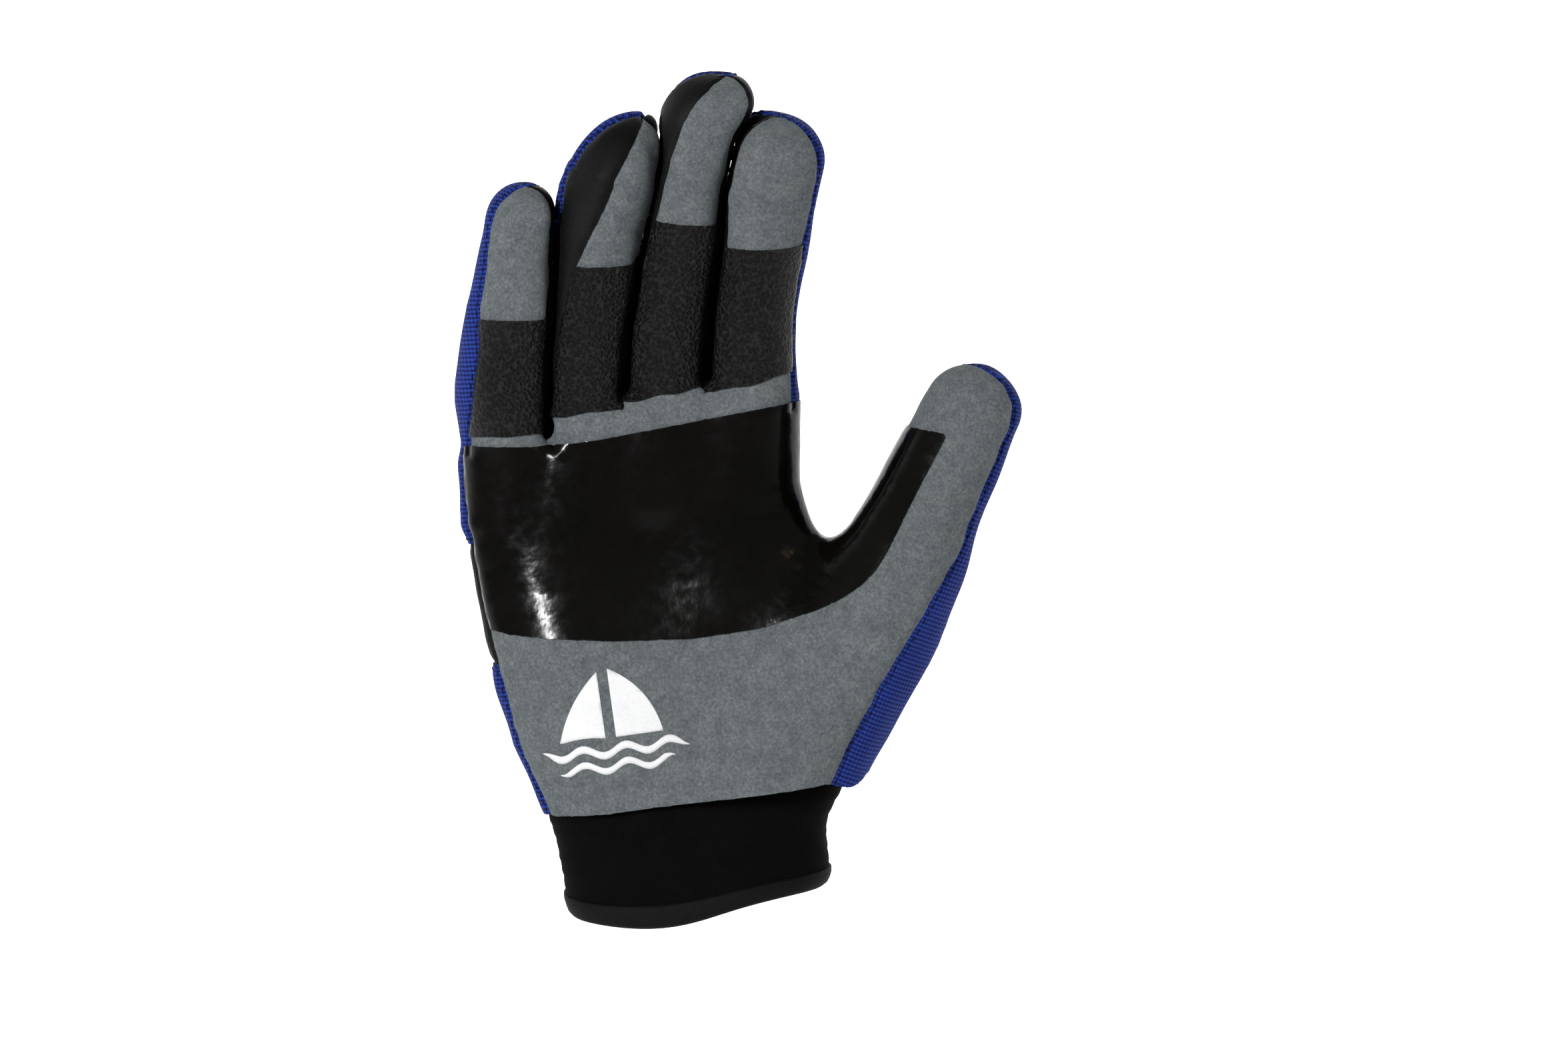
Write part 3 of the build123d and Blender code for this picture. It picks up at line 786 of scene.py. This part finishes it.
def gloss():
    n = Nodes("gloss_black")
    soft, fine = n.noise(45, 3, 0.5), n.noise(330, 2, 0.5)
    color = n.ramp(soft, ((0.3, srgb(3, 3, 2)), (0.7, srgb(7, 6, 5))))
    normal = n.bump(fine, 0.2, 0.0005, n.bump(soft, 0.05, 0.0022))
    return n.finish(color, n.spread(fine, 0.35, 0.65, 0.12, 0.20), normal, Specular_IOR_Level=0.22)


def knit():
    n = Nodes("knit_blue")
    ribs = n.bands(0.00115, "Z", 0.6)
    loops = n.bands(0.00085, "X", 0.8)
    weave = n.mix(ribs, loops, 0.72)
    tone = n.mix(weave, n.noise(90, 3, 0.6), 0.75)
    color = n.ramp(tone, ((0.15, srgb(11, 18, 62)), (0.5, srgb(24, 41, 110)), (0.9, srgb(43, 65, 145))))
    normal = n.bump(weave, 0.8, 0.00030)
    return n.finish(color, 0.78, normal, Specular_IOR_Level=0.1)


def stretch(name, dark, light, pitch, rough):
    n = Nodes(name)
    fine = n.math("MULTIPLY", n.bands(pitch, "Z", 0.5), n.bands(pitch * 0.8, "X", 0.5))
    color = n.ramp(n.mix(fine, n.noise(260, 4, 0.65), 0.5), ((0.2, dark), (0.8, light)))
    return n.finish(color, rough, n.bump(fine, 0.45, 0.00012), Specular_IOR_Level=0.15)


def plain_fabric(name, dark, light, rough, grain, height):
    n = Nodes(name)
    fine, slow = n.noise(grain, 4, 0.7), n.noise(120, 3, 0.6)
    color = n.ramp(n.mix(fine, slow, 0.6), ((0.3, dark), (0.7, light)))
    return n.finish(color, rough, n.bump(fine, 0.6, height), Specular_IOR_Level=0.06)


MATERIALS = {"suede_grey": suede(), "grip_black": grip(), "gloss_black": gloss(), "knit_blue": knit()}
for name, dark, light, pitch, rough in (
    ("stretch_black", (4, 4, 5), (14, 14, 16), 0.0007, 0.62),
    ("binding_black", (4, 4, 4), (12, 12, 12), 0.0009, 0.75),
):
    MATERIALS[name] = stretch(name, srgb(*dark), srgb(*light), pitch, rough)
for name, dark, light, rough, grain, height in (
    ("cuff_black", (3, 3, 3), (8, 8, 8), 0.9, 1300, 0.00016),
    ("tab_black", (13, 13, 14), (34, 34, 36), 0.8, 900, 0.0002),
    ("fastener_black", (6, 6, 6), (30, 30, 30), 0.95, 700, 0.0005),
    ("thread_dark", (8, 10, 22), (26, 30, 48), 0.55, 2500, 0.00005),
    ("print_white", (203, 204, 205), (226, 226, 227), 0.6, 1800, 0.00006),
):
    MATERIALS[name] = plain_fabric(name, srgb(*dark), srgb(*light), rough, grain, height)


# ------------------------------ turning triangles into pieces
CLOTH = 1.2  # thickness of a sewn panel


def new_piece(name, verts, faces, rest, slot, loop_normals=None):
    """A smooth mesh object; rest holds the points, in mm, that its material is laid out on."""
    mesh = bpy.data.meshes.new(name)
    mesh.from_pydata((verts * MM).tolist(), [], faces)
    mesh.update()
    attr = mesh.attributes.new("rest", "FLOAT_VECTOR", "POINT")
    attr.data.foreach_set("vector", (rest * MM).astype(np.float32).ravel())
    mesh.polygons.foreach_set("use_smooth", [True] * len(mesh.polygons))
    if loop_normals is not None:
        mesh.normals_split_custom_set(loop_normals)
    mesh.materials.append(MATERIALS[slot])
    obj = bpy.data.objects.new(name, mesh)
    bpy.context.scene.collection.objects.link(obj)
    return obj


def edge_keys(tris, n):
    """The triangles' directed edges, with one number for each and one for its reverse."""
    edges = np.vstack([tris[:, [0, 1]], tris[:, [1, 2]], tris[:, [2, 0]]])
    a, b = edges.astype(np.int64).T
    return edges, a * n + b, b * n + a


def closed_faces(tris, n):
    """Faces of a sheet whose inner side's points follow its n outer ones, and its rim's quads."""
    edges, key, reverse = edge_keys(tris, n)
    rim = edges[~np.isin(key, reverse)]
    quads = np.c_[rim[:, 1], rim[:, 0], rim[:, 0] + n, rim[:, 1] + n]
    return tris.tolist() + (tris[:, ::-1] + n).tolist() + quads.tolist(), quads


def panel(name, mask, slot, top=0.0, bottom=-CLOTH, rest_turn=0.0):
    """Makes one sewn panel from the masked triangles, with its thickness and edges."""
    used, tris = np.unique(net.f[mask], return_inverse=True)
    tris = tris.reshape(-1, 3)
    v, nrm = net.v[used], smooth_normal[used]
    verts = np.vstack([v + nrm * top, v + nrm * bottom])
    faces, quads = closed_faces(tris, len(used))
    corner = verts[quads[:, 1]]
    side = unit(np.cross(corner - verts[quads[:, 0]], verts[quads[:, 3]] - verts[quads[:, 0]]))
    loops = np.vstack([nrm[tris.ravel()], -nrm[tris[:, ::-1].ravel()], np.repeat(side, 4, 0)])
    rest = np.c_[net.get("tx"), net.get("ty"), net.get("tz")][used]
    if rest_turn:
        c, s = math.cos(math.radians(rest_turn)), math.sin(math.radians(rest_turn))
        rest = rest @ np.array(((c, 0, s), (0, 1, 0), (-s, 0, c)))
    return new_piece(name, verts, faces, np.vstack([rest, rest - nrm]), slot, loops.tolist())


def bend(piece, a, b, limb, start, end):
    limb.at(start)
    limb.at(end)
    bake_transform(piece)


def finger_sides(n):
    """Sideways position of each triangle on a finger, and which are on its pad and on its back."""
    side = net.mean(f"side_{n}")
    outer = {"little": side < 0, "index": side > 0}.get(n, np.zeros(len(side), bool))
    front = net.mean(f"front_{n}") < 0
    return side, front, ~front & ((net.mean(f"back_{n}") > 0) | outer)


def finger_zones(i, n):
    """A finger's zones: name, mask, CAD segment, two bodies and two distances along the finger."""
    mine, s = label == i, net.mean(f"cut_{n}")
    low, (a, b) = FINGERS[n]["crotch"] + 1.5, FINGERS[n]["cuts"]
    return (
        ("root", mine & (s < a), "proximal", "hand", f"{n}_proximal", low, a - 2),
        ("mid", mine & (s >= a) & (s < b), "middle", f"{n}_proximal", f"{n}_middle", a + 2, b - 2.5),
        ("tip", mine & (s >= b), "distal", f"{n}_middle", f"{n}_distal", b + 2.5, b + 24),
    )


GRIP_TOP, GLOSS_TOP, OVERLAY_FOOT = 0.55, 0.5, -0.15
GUSSET_TOP = -0.6
FEWEST = 12  # triangles that make a panel

for i, n in enumerate(NAMES):
    side, front, back = finger_sides(n)
    gusset = ~front & ~back
    for zone, where, segment, body_a, body_b, start, end in finger_zones(i, n):
        made = []
        for part, sel, slot, node in (("pad", front, "suede_grey", "front"),
                                      ("back", back, "knit_blue", "back"),
                                      ("side_in", gusset & (side > 0), "stretch_black", "fourchettes"),
                                      ("side_out", gusset & (side <= 0), "stretch_black", "fourchettes")):
            if (where & sel).sum() >= FEWEST:
                made.append(panel(f"{n}_{zone}_{part}", where & sel, slot))
                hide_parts(f"{n}_{segment}_{node}")
        if zone != "tip":
            grip_mask = where & front & (net.mean(f"low_{n}") > 0)
            made.append(panel(f"{n}_{zone}_grip", grip_mask, "grip_black", GRIP_TOP, OVERLAY_FOOT))
            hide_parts(f"{n}_grip_lower" if zone == "root" else f"{n}_grip_upper")
        for piece in made:
            bend(piece, body_a, body_b, limbs[i], start, end)


def thumb_at(value):
    """The point of the thumb's axis that lies that far along the thumb's direction."""
    along = thumb.c @ thumb_along
    return [float(np.interp(value, along, thumb.c[:, k])) * MM for k in range(3)]


front = net.mean("hand_front") < 0
gloss_on = front & (net.mean("gloss") < 0)
lean_of_thumb = math.degrees(math.atan2(thumb_along[0], thumb_along[2]))
is_thumb, is_hand = label == 4, label == 5
lower = net.mean("thumb_s") < THUMB_ZONE[1]
root_s, tip_s = (float(at @ thumb_along) / MM for at in (thumb_root_at, thumb_tip_at))
THUMB_PARTS = (
    ("lower", is_thumb & lower, "proximal", "hand", "thumb_proximal", root_s + 1, THUMB_ZONE[1] - 3),
    ("tip", is_thumb & ~lower, "distal", "thumb_proximal", "thumb_distal", THUMB_ZONE[1] + 3, tip_s + 9),
)
for zone, where, segment, body_a, body_b, start, end in THUMB_PARTS:
    for part, sel, slot, node, top, foot, turn in (
        ("pad", front, "suede_grey", f"thumb_{segment}_front", 0.0, -CLOTH, lean_of_thumb),
        ("back", ~front, "knit_blue", f"thumb_{segment}_back", 0.0, -CLOTH, lean_of_thumb),
        ("gloss", gloss_on, "gloss_black", "thumb_grip_patch", GLOSS_TOP, OVERLAY_FOOT, 0),
    ):
        piece = panel(f"thumb_{zone}_{part}", where & sel, slot, top, foot, turn)
        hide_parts(node)
        thumb_at(start)
        thumb_at(end)
        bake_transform(piece)

gusset = ~front & (net.mean("gusset") < 0)
thumb_side = ~front & ~gusset & (net.mean("thumb_back") > 0)
back = ~front & ~gusset & ~thumb_side
for name, sel, slot, node, top, foot, turn in (
    ("palm_suede", front, "suede_grey", "palm_panel", 0.0, -CLOTH, 0),
    ("palm_gloss", gloss_on, "gloss_black", "palm_grip_patch", GLOSS_TOP, OVERLAY_FOOT, 0),
    ("hand_back", back, "knit_blue", "back_panel", 0.0, -CLOTH, 0),
    ("thumb_base_back", thumb_side, "knit_blue", "back_panel", 0.0, -CLOTH, lean_of_thumb),
    ("heel_gusset", gusset, "stretch_black", "side_gusset", GUSSET_TOP, GUSSET_TOP - CLOTH, 0),
):
    piece = panel(name, is_hand & sel, slot, top, foot, turn)
    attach(piece, "hand")
    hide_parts(node)


# ------------------------------ stitches
skin = KDTree(len(net.v))
for i, point in enumerate(net.v):
    skin.insert(point, i)
skin.balance()


def seam_chains(a, b):
    """Runs of vertices along the seam between two sets of triangles, with set a on the left."""
    edges, key, _ = edge_keys(net.f[a], len(net.v))
    _, _, facing = edge_keys(net.f[b], len(net.v))
    after = dict(edges[np.isin(key, facing)].tolist())
    starts = [i for i in after if i not in set(after.values())]
    chains = []
    for start in sorted(starts):
        chain = [start]
        while chain[-1] in after and len(chain) < 5000:
            chain.append(after[chain[-1]])
        if len(chain) > 8:
            chains.append(np.array(chain))
    return chains


def thread_mesh(spots):
    """One small tapered stitch for each (centre, direction, up)."""
    # Each ring: place along the stitch, size, drop into the cloth.
    rings = ((-0.5, 0.35, -0.16), (-0.3, 1.0, 0.0), (0.3, 1.0, 0.0), (0.5, 0.35, -0.16))
    sides = 6
    verts, faces = [], []
    for centre, along, up in spots:
        across = np.cross(up, along)
        first = len(verts)
        for t, r, drop in rings:
            middle = centre + along * t * STITCH_LENGTH + up * drop
            for k in range(sides):
                a = 2 * math.pi * k / sides
                verts.append(middle + (across * math.cos(a) + up * math.sin(a)) * r * STITCH_RADIUS)
        for ring in range(len(rings) - 1):
            for k in range(sides):
                p, q = first + ring * sides, first + (ring + 1) * sides
                faces.append((p + k, p + (k + 1) % sides, q + (k + 1) % sides, q + k))
        faces.append(tuple(first + k for k in reversed(range(sides))))
        faces.append(tuple(first + (len(rings) - 1) * sides + k for k in range(sides)))
    return np.array(verts), faces


STITCH_PITCH, STITCH_LENGTH, STITCH_RADIUS, STITCH_INSET = 2.3, 1.6, 0.2, 1.15
STITCH_LIFT = 0.06  # height of a stitch's middle over the cloth


def stitch_row(name, a, b):
    """Stitches on set a's side of its seam with set b, or None where the seam is too short."""
    spots = []

    def along_run(at):
        return np.array([np.interp(at, run, points[:, k]) for k in range(3)])

    for chain in seam_chains(a, b):
        points, ups = net.v[chain], smooth_normal[chain]
        for _ in range(4):
            points[1:-1] = (points[:-2] + 2 * points[1:-1] + points[2:]) / 4
        run = np.r_[0, np.cumsum(np.linalg.norm(np.diff(points, axis=0), axis=1))]
        for at in np.arange(STITCH_PITCH * 0.6, run[-1] - STITCH_PITCH * 0.4, STITCH_PITCH):
            up = unit(np.array([np.interp(at, run, ups[:, k]) for k in range(3)]))
            along = unit(along_run(at + STITCH_LENGTH / 2) - along_run(at - STITCH_LENGTH / 2))
            here = along_run(at) + unit(np.cross(up, along)) * STITCH_INSET
            _, index, _ = skin.find(here)
            up = smooth_normal[index]
            here = here + up * float((net.v[index] - here) @ up + STITCH_LIFT)
            along = unit(along - up * float(along @ up))
            spots.append((here, along, up))
    if len(spots) < 2:
        return None
    verts, faces = thread_mesh(spots)
    return new_piece(name, verts, faces, verts, "thread_dark")


for i, n in enumerate(NAMES):
    finger_back = finger_sides(n)[2]
    for zone, where, _, body_a, body_b, start, end in finger_zones(i, n):
        piece = stitch_row(f"{n}_{zone}_stitches", where & finger_back, where & ~finger_back)
        if piece:
            bend(piece, body_a, body_b, limbs[i], start, end)
for zone, where, _, body_a, body_b, start, end in THUMB_PARTS:
    piece = stitch_row(f"thumb_{zone}_stitches", where & ~front, where & front)
    if piece:
        thumb_at(start)
        thumb_at(end)
        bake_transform(piece)
for name, a, b in (("back_edge_stitches", ~front & ~gusset, front),
                   ("gusset_stitches", ~front & ~gusset, gusset),
                   ("thumb_seam_stitches", thumb_side, back)):
    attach(stitch_row(name, is_hand & a, is_hand & b), "hand")

# ------------------------------ cuff
CUFF_ROWS = np.array((  # height, half width, half depth, centre x
    (31.5, 39.1, 17.6, 1.5), (28.5, 40.2, 18.3, 1.4), (25.5, 39.7, 19.3, 0.9), (22.0, 38.2, 20.0, 0.2),
    (18.0, 36.7, 20.3, -0.5), (14.0, 36.1, 20.6, -0.7), (9.0, 35.7, 21.2, -0.3), (5.0, 35.6, 21.8, -0.2),
    (1.5, 34.6, 21.9, -0.4), (0.0, 33.8, 21.7, -0.8)), float)
CUFF_POWER = 2.5
RIM_DIP = 5.0  # how far the rim hangs lower on the little finger's side of the palm
SLIT = 0.042  # half the back slit's angle


def cuff_point(angle, height, out=0.0):
    """A point of the cuff's outside. Angle 0 is the palm side's middle, growing towards the thumb."""
    rows = CUFF_ROWS[::-1]
    a, b, cx = (np.interp(height, rows[:, 0], rows[:, i]) for i in (1, 2, 3))
    c, s = -np.cos(angle), np.sin(angle)
    p = CUFF_POWER
    r = (np.abs(s / (a + out)) ** p + np.abs(c / (b + out)) ** p) ** (-1 / p)
    dip = -RIM_DIP * np.clip(np.cos(angle + 0.45), 0, 1) ** 2 * np.clip(1 - height / 16, 0, 1)
    return np.stack([cx + r * s, r * c, height + dip], -1)


def strap(name, grid, slot, thickness, flip, bevel=0.0):
    """A strip with thickness from a grid of points, its cells turned over where flip is true."""
    rows, cols = grid.shape[:2]
    flat = grid.reshape(-1, 3)
    cells = []
    for r in range(rows - 1):
        for c in range(cols - 1):
            at = r * cols + c
            second, fourth = (cols, 1) if flip else (1, cols)
            cells.append((at, at + second, at + cols + 1, at + fourth))
    obj = new_piece(name, flat, cells, flat, slot)
    solid = obj.modifiers.new("thickness", "SOLIDIFY")
    solid.thickness, solid.offset = thickness * MM, 1
    if bevel:
        edges = obj.modifiers.new("edges", "BEVEL")
        edges.width, edges.segments, edges.limit_method = bevel * MM, 2, "ANGLE"
    bpy.context.view_layer.update()
    evaluated = obj.evaluated_get(bpy.context.evaluated_depsgraph_get())
    mesh = bpy.data.meshes.new_from_object(evaluated)
    obj.modifiers.clear()
    obj.data = mesh
    return obj


def ring_strip(name, heights, outs, slot, thickness, wobble):
    """A band round the cuff from rows of (height, outward offset)."""
    grid = np.array([cuff_point(around, h, o) for h, o in zip(heights, outs)])
    flat = grid.reshape(-1, 3)
    shake = wobble * (0.6 * waves(flat, 9, 11) + 0.4 * waves(flat, 24, 12))
    flat = flat + unit(flat * (1, 1, 0)) * shake[:, None]
    return strap(name, flat.reshape(grid.shape), slot, thickness, False)


SLIT_AT = math.pi - 0.30  # the slit's angle
around = np.linspace(SLIT_AT - 2 * math.pi + SLIT, SLIT_AT - SLIT, 150)
cuff_heights = np.linspace(31, 3.2, 24)
HEM_HEIGHTS = (4.9, 4.5, 3.4, 2.2, 1.0, 0.3, 0.0, 0.2, 0.9, 2.2, 4.0)
HEM_OUTS = (0.1, 0.75, 1.0, 1.0, 0.95, 0.5, -0.4, -1.5, -2.3, -2.6, -2.7)
for name, node, heights, outs, slot, thickness, wobble in (
    ("cuff_body", "cuff_band", cuff_heights, 0.12 * np.sin(cuff_heights * 1.9), "cuff_black", 2.2, 0.35),
    ("cuff_hem", "cuff_binding", HEM_HEIGHTS, HEM_OUTS, "binding_black", 0.5, 0.15),
):
    piece = ring_strip(name, heights, outs, slot, thickness, wobble)
    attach(piece, "hand")
    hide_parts(node)

# ------------------------------ closure on the back of the cuff
STRAP_BEVEL = 0.35


def back_strip(name, low, high, out, thickness, slot, corner, columns=30, rows=14):
    """A flat strap over a CAD box on the cuff's back, with rounded corners at its left end."""
    u, w = np.meshgrid(np.linspace(0, 1, columns), np.linspace(-1, 1, rows))
    width = (high[2] - low[2]) / 2
    inset = 0 * w
    if corner:
        past = np.abs(w) * width - (width - corner)
        bow = corner - np.sqrt(np.maximum(corner**2 - past**2, 0))
        inset = np.where(np.abs(w) > 1 - corner / width, bow, 0)
    px = low[0] + inset + (high[0] - low[0] - inset) * u
    pz = (low[2] + high[2]) / 2 + w * width
    angle = math.pi - np.arctan2(px, 20.5)
    for _ in range(12):
        p = cuff_point(angle, pz, out)
        angle = angle + (p[..., 0] - px) / 21.0
    return strap(name, cuff_point(angle, pz, out), slot, thickness, True, STRAP_BEVEL)


for name, node, body, slot, out, thick, corner in (
    ("loop_strip", "loop_patch", "hand", "fastener_black", 0.15, 0.8, 0),
    ("hook_strip", "hook_patch", "closure_tab", "fastener_black", 1.1, 0.75, 0),
    ("wrist_tab", "closure_tab", "closure_tab", "tab_black", 1.9, 1.5, 5.0),
    ("tab_root", "tab_anchor", "hand", "tab_black", 0.15, 3.2, 0),
):
    low, high = ([c / MM for c in corner_m] for corner_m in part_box(node))
    piece = back_strip(name, low, high, out, thick, slot, corner)
    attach(piece, body)
    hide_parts(node)


# ------------------------------ printed mark: two sails over waves
def surface_y(x, z, start=-34.0, end=2.0):
    """The palm side's y at each (x, z), by halving."""
    low, high = np.full(len(x), start), np.full(len(x), end)
    for _ in range(22):
        mid = (low + high) / 2
        out = field(np.c_[x, mid, z]) > 0
        low, high = np.where(out, mid, low), np.where(out, high, mid)
    return (low + high) / 2


PRINT_TOP, PRINT_FOOT = 0.14, 0.1  # how far a printed shape stands out, and goes into the cloth
PRINT_EDGE = 1.1  # longest edge of its triangles, roughly


def print_shape(name, outline):
    """A thin printed shape on the palm, from an outline of (x, z) points."""
    bm = bmesh.new()
    bm.faces.new([bm.verts.new((px, 0, pz)) for px, pz in outline])
    bmesh.ops.triangulate(bm, faces=bm.faces)
    for _ in range(7):
        long = [e for e in bm.edges if e.calc_length() > PRINT_EDGE * 1.6]
        if not long:
            break
        bmesh.ops.subdivide_edges(bm, edges=long, cuts=1, use_grid_fill=False)
        bmesh.ops.triangulate(bm, faces=bm.faces)
    verts = np.array([v.co for v in bm.verts])
    tris = np.array([[v.index for v in f.verts] for f in bm.faces])
    bm.free()
    verts[:, 1] = surface_y(verts[:, 0], verts[:, 2])
    g = unit(gradient(verts))
    verts = verts + g * swell(verts)[:, None]
    cross = np.cross(verts[tris[:, 1]] - verts[tris[:, 0]], verts[tris[:, 2]] - verts[tris[:, 0]])
    if (cross.mean(0) @ g.mean(0)) < 0:
        tris = tris[:, ::-1]
    both = np.vstack([verts + g * PRINT_TOP, verts - g * PRINT_FOOT])
    piece = new_piece(name, both, closed_faces(tris, len(verts))[0], both, "print_white")
    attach(piece, "hand")


MARK_X, MARK_Z, MARK_TURN = -18.5, 50.0, math.radians(3)


def placed(points):
    """The mark's points moved to its place on the palm."""
    c, s = math.cos(MARK_TURN), math.sin(MARK_TURN)
    return [(MARK_X + px * c - pz * s, MARK_Z + px * s + pz * c) for px, pz in points]


def arc(x0, z0, x1, z1, sag, n=10):
    """Points from one end to the other along a shallow bow."""
    out = []
    for t in np.linspace(0, 1, n):
        nx, nz = -(z1 - z0), x1 - x0
        length = math.hypot(nx, nz)
        k = sag * 4 * t * (1 - t)
        out.append((x0 + (x1 - x0) * t + nx / length * k, z0 + (z1 - z0) * t + nz / length * k))
    return out


jib = arc(-2.2, 14.5, -14.5, -3.2, -1.6) + arc(-13.4, -3.2, -2.2, -3.2, 0.6, 5)
main_sail = arc(0.6, -3.2, 0.6, 14.8, 0.0, 6) + arc(0.9, 14.8, 13.2, -3.2, 2.6)


def wave_band(z0, x0, x1, wide):
    """The outline of a wavy line with tapered ends."""
    xs = np.linspace(x0, x1, 34)
    taper = np.clip(np.minimum(xs - x0, x1 - xs) / 3.0, 0.12, 1)
    mid = z0 + 1.15 * np.sin(xs * 2 * math.pi / 11.5)
    above, below = mid + wide / 2 * taper, mid - wide / 2 * taper
    return list(zip(xs, above)) + list(zip(xs[::-1], below[::-1]))


for name, outline in (("mark_jib", jib[::-1]), ("mark_mainsail", main_sail[::-1]),
                      ("mark_wave_upper", wave_band(-6.6, -19.5, 19.5, 2.0)),
                      ("mark_wave_lower", wave_band(-10.8, -15.5, 15.5, 1.8))):
    print_shape(name, placed(outline))

# ------------------------------ floor, lights and camera
def sweep():
    """A pale floor that curves up into a backdrop all round, well away from the glove. Its colour is darker
    towards the front, a painted shade, and it glows more towards the back, a painted light.
    """
    radius = np.array((0, 0.4, 0.9, 1.6, 2.3, 2.75, 3.0, 3.1, 3.15))
    height = np.array((0, 0, 0, 0, 0.08, 0.35, 0.85, 1.5, 3.2))
    turn = np.linspace(0, 2 * math.pi, 65)[:-1]
    verts = [(0, 0, FLOOR_Z)]
    for r, h in zip(radius[1:], height[1:]):
        verts += [(r * math.cos(t), r * math.sin(t), FLOOR_Z + h) for t in turn]
    n = len(turn)
    faces = [(0, 1 + i, 1 + (i + 1) % n) for i in range(n)]
    for a in range(1, 1 + n * (len(radius) - 2), n):
        faces += [(a + i, a + n + i, a + n + (i + 1) % n, a + (i + 1) % n) for i in range(n)]
    mesh = bpy.data.meshes.new("floor")
    mesh.from_pydata(verts, [], faces)
    mesh.polygons.foreach_set("use_smooth", [True] * len(mesh.polygons))
    nodes = Nodes("floor_pale")
    nodes.tree.nodes.remove(nodes.rest.node)
    place = nodes.node("ShaderNodeSeparateXYZ")
    nodes.link(nodes.node("ShaderNodeNewGeometry").outputs["Position"], place.inputs[0])
    # Painted light: the floor glows, from none at the front to strong at the back.
    glow = nodes.spread(place.outputs["Y"], -0.4, 0.9, 0.0, 0.95)
    nodes.link(glow, nodes.bsdf.inputs["Emission Strength"])
    # Painted shade: the floor's colour is darker towards the front.
    shade = nodes.spread(place.outputs["Y"], -0.6, 0.1, 0.35, 0.88)
    nodes.link(nodes.ramp(shade, ((0, (0, 0, 0)), (1, (1, 1, 1)))), nodes.bsdf.inputs["Base Color"])
    nodes.bsdf.inputs["Roughness"].default_value = 0.9
    nodes.bsdf.inputs["Emission Color"].default_value = (1, 1, 1, 1)
    mesh.materials.append(nodes.mat)
    obj = bpy.data.objects.new("floor", mesh)
    bpy.context.scene.collection.objects.link(obj)
    obj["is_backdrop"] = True


FLOOR_Z = -0.14
sweep()

scene = bpy.context.scene
scene.view_settings.view_transform = "Standard"
world = bpy.data.worlds.new("studio")
world.use_nodes = True
background = world.node_tree.nodes["Background"]
background.inputs["Color"].default_value = (1, 1, 1, 1)
background.inputs["Strength"].default_value = 0.13
scene.world = world

middle = Vector(((cad_low[0] + cad_high[0]) / 2, 0, (cad_low[2] + cad_high[2]) / 2))


def area_light(name, at, target, size, power, size_y=None, color=(1, 1, 1), roll=0.0):
    """A soft lamp that shines from a place towards a target."""
    data = bpy.data.lights.new(name, "AREA")
    data.energy, data.size, data.color = power, size, color
    if size_y:
        data.shape, data.size_y = "RECTANGLE", size_y
    obj = bpy.data.objects.new(name, data)
    obj.location = at
    obj.rotation_euler = (Vector(target) - Vector(at)).to_track_quat("-Z", "Y").to_euler()
    obj.rotation_euler.rotate_axis("Z", roll)
    scene.collection.objects.link(obj)
    return obj


area_light("key", (-0.9, -1.0, 0.7), middle, 0.45, 3.8).visible_glossy = False
area_light("fill", (1.45, -0.5, 0.45), middle, 0.6, 6).visible_glossy = False
area_light("back", (0.3, 1.2, 0.9), middle, 0.9, 3.5)
area_light("streak", (-0.30, -0.70, 0.36), (-0.04, 0, 0.1), 0.025, 6.0, 0.34, roll=-0.5)
area_light("glow", (0.46, -0.85, 0.44), (0.0, 0, 0.1), 0.05, 0.06, color=(1.0, 0.66, 0.38))

CAMERA_DISTANCE = 1.1
CAMERA_TILT = math.radians(4.0)
CAMERA_ROLL = math.radians(5.0)
FRAME_WIDTH = 0.420  # width of the view at the target
SENSOR = 36  # mm
target = Vector((0.0313, 0.0, 0.098))
look = Vector((0, math.cos(CAMERA_TILT), -math.sin(CAMERA_TILT)))
up0 = Vector((0, math.sin(CAMERA_TILT), math.cos(CAMERA_TILT)))
right0 = Vector((1, 0, 0))
up = up0 * math.cos(CAMERA_ROLL) + right0 * math.sin(CAMERA_ROLL)
right = right0 * math.cos(CAMERA_ROLL) - up0 * math.sin(CAMERA_ROLL)
camera_data = bpy.data.cameras.new("camera")
camera_data.sensor_width = SENSOR
camera_data.lens = SENSOR * CAMERA_DISTANCE / FRAME_WIDTH
camera = bpy.data.objects.new("camera", camera_data)
rotation = Matrix((right, up, -look)).transposed().to_4x4()
camera.matrix_world = Matrix.Translation(target - look * CAMERA_DISTANCE) @ rotation
scene.collection.objects.link(camera)
scene.camera = camera

low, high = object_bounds()
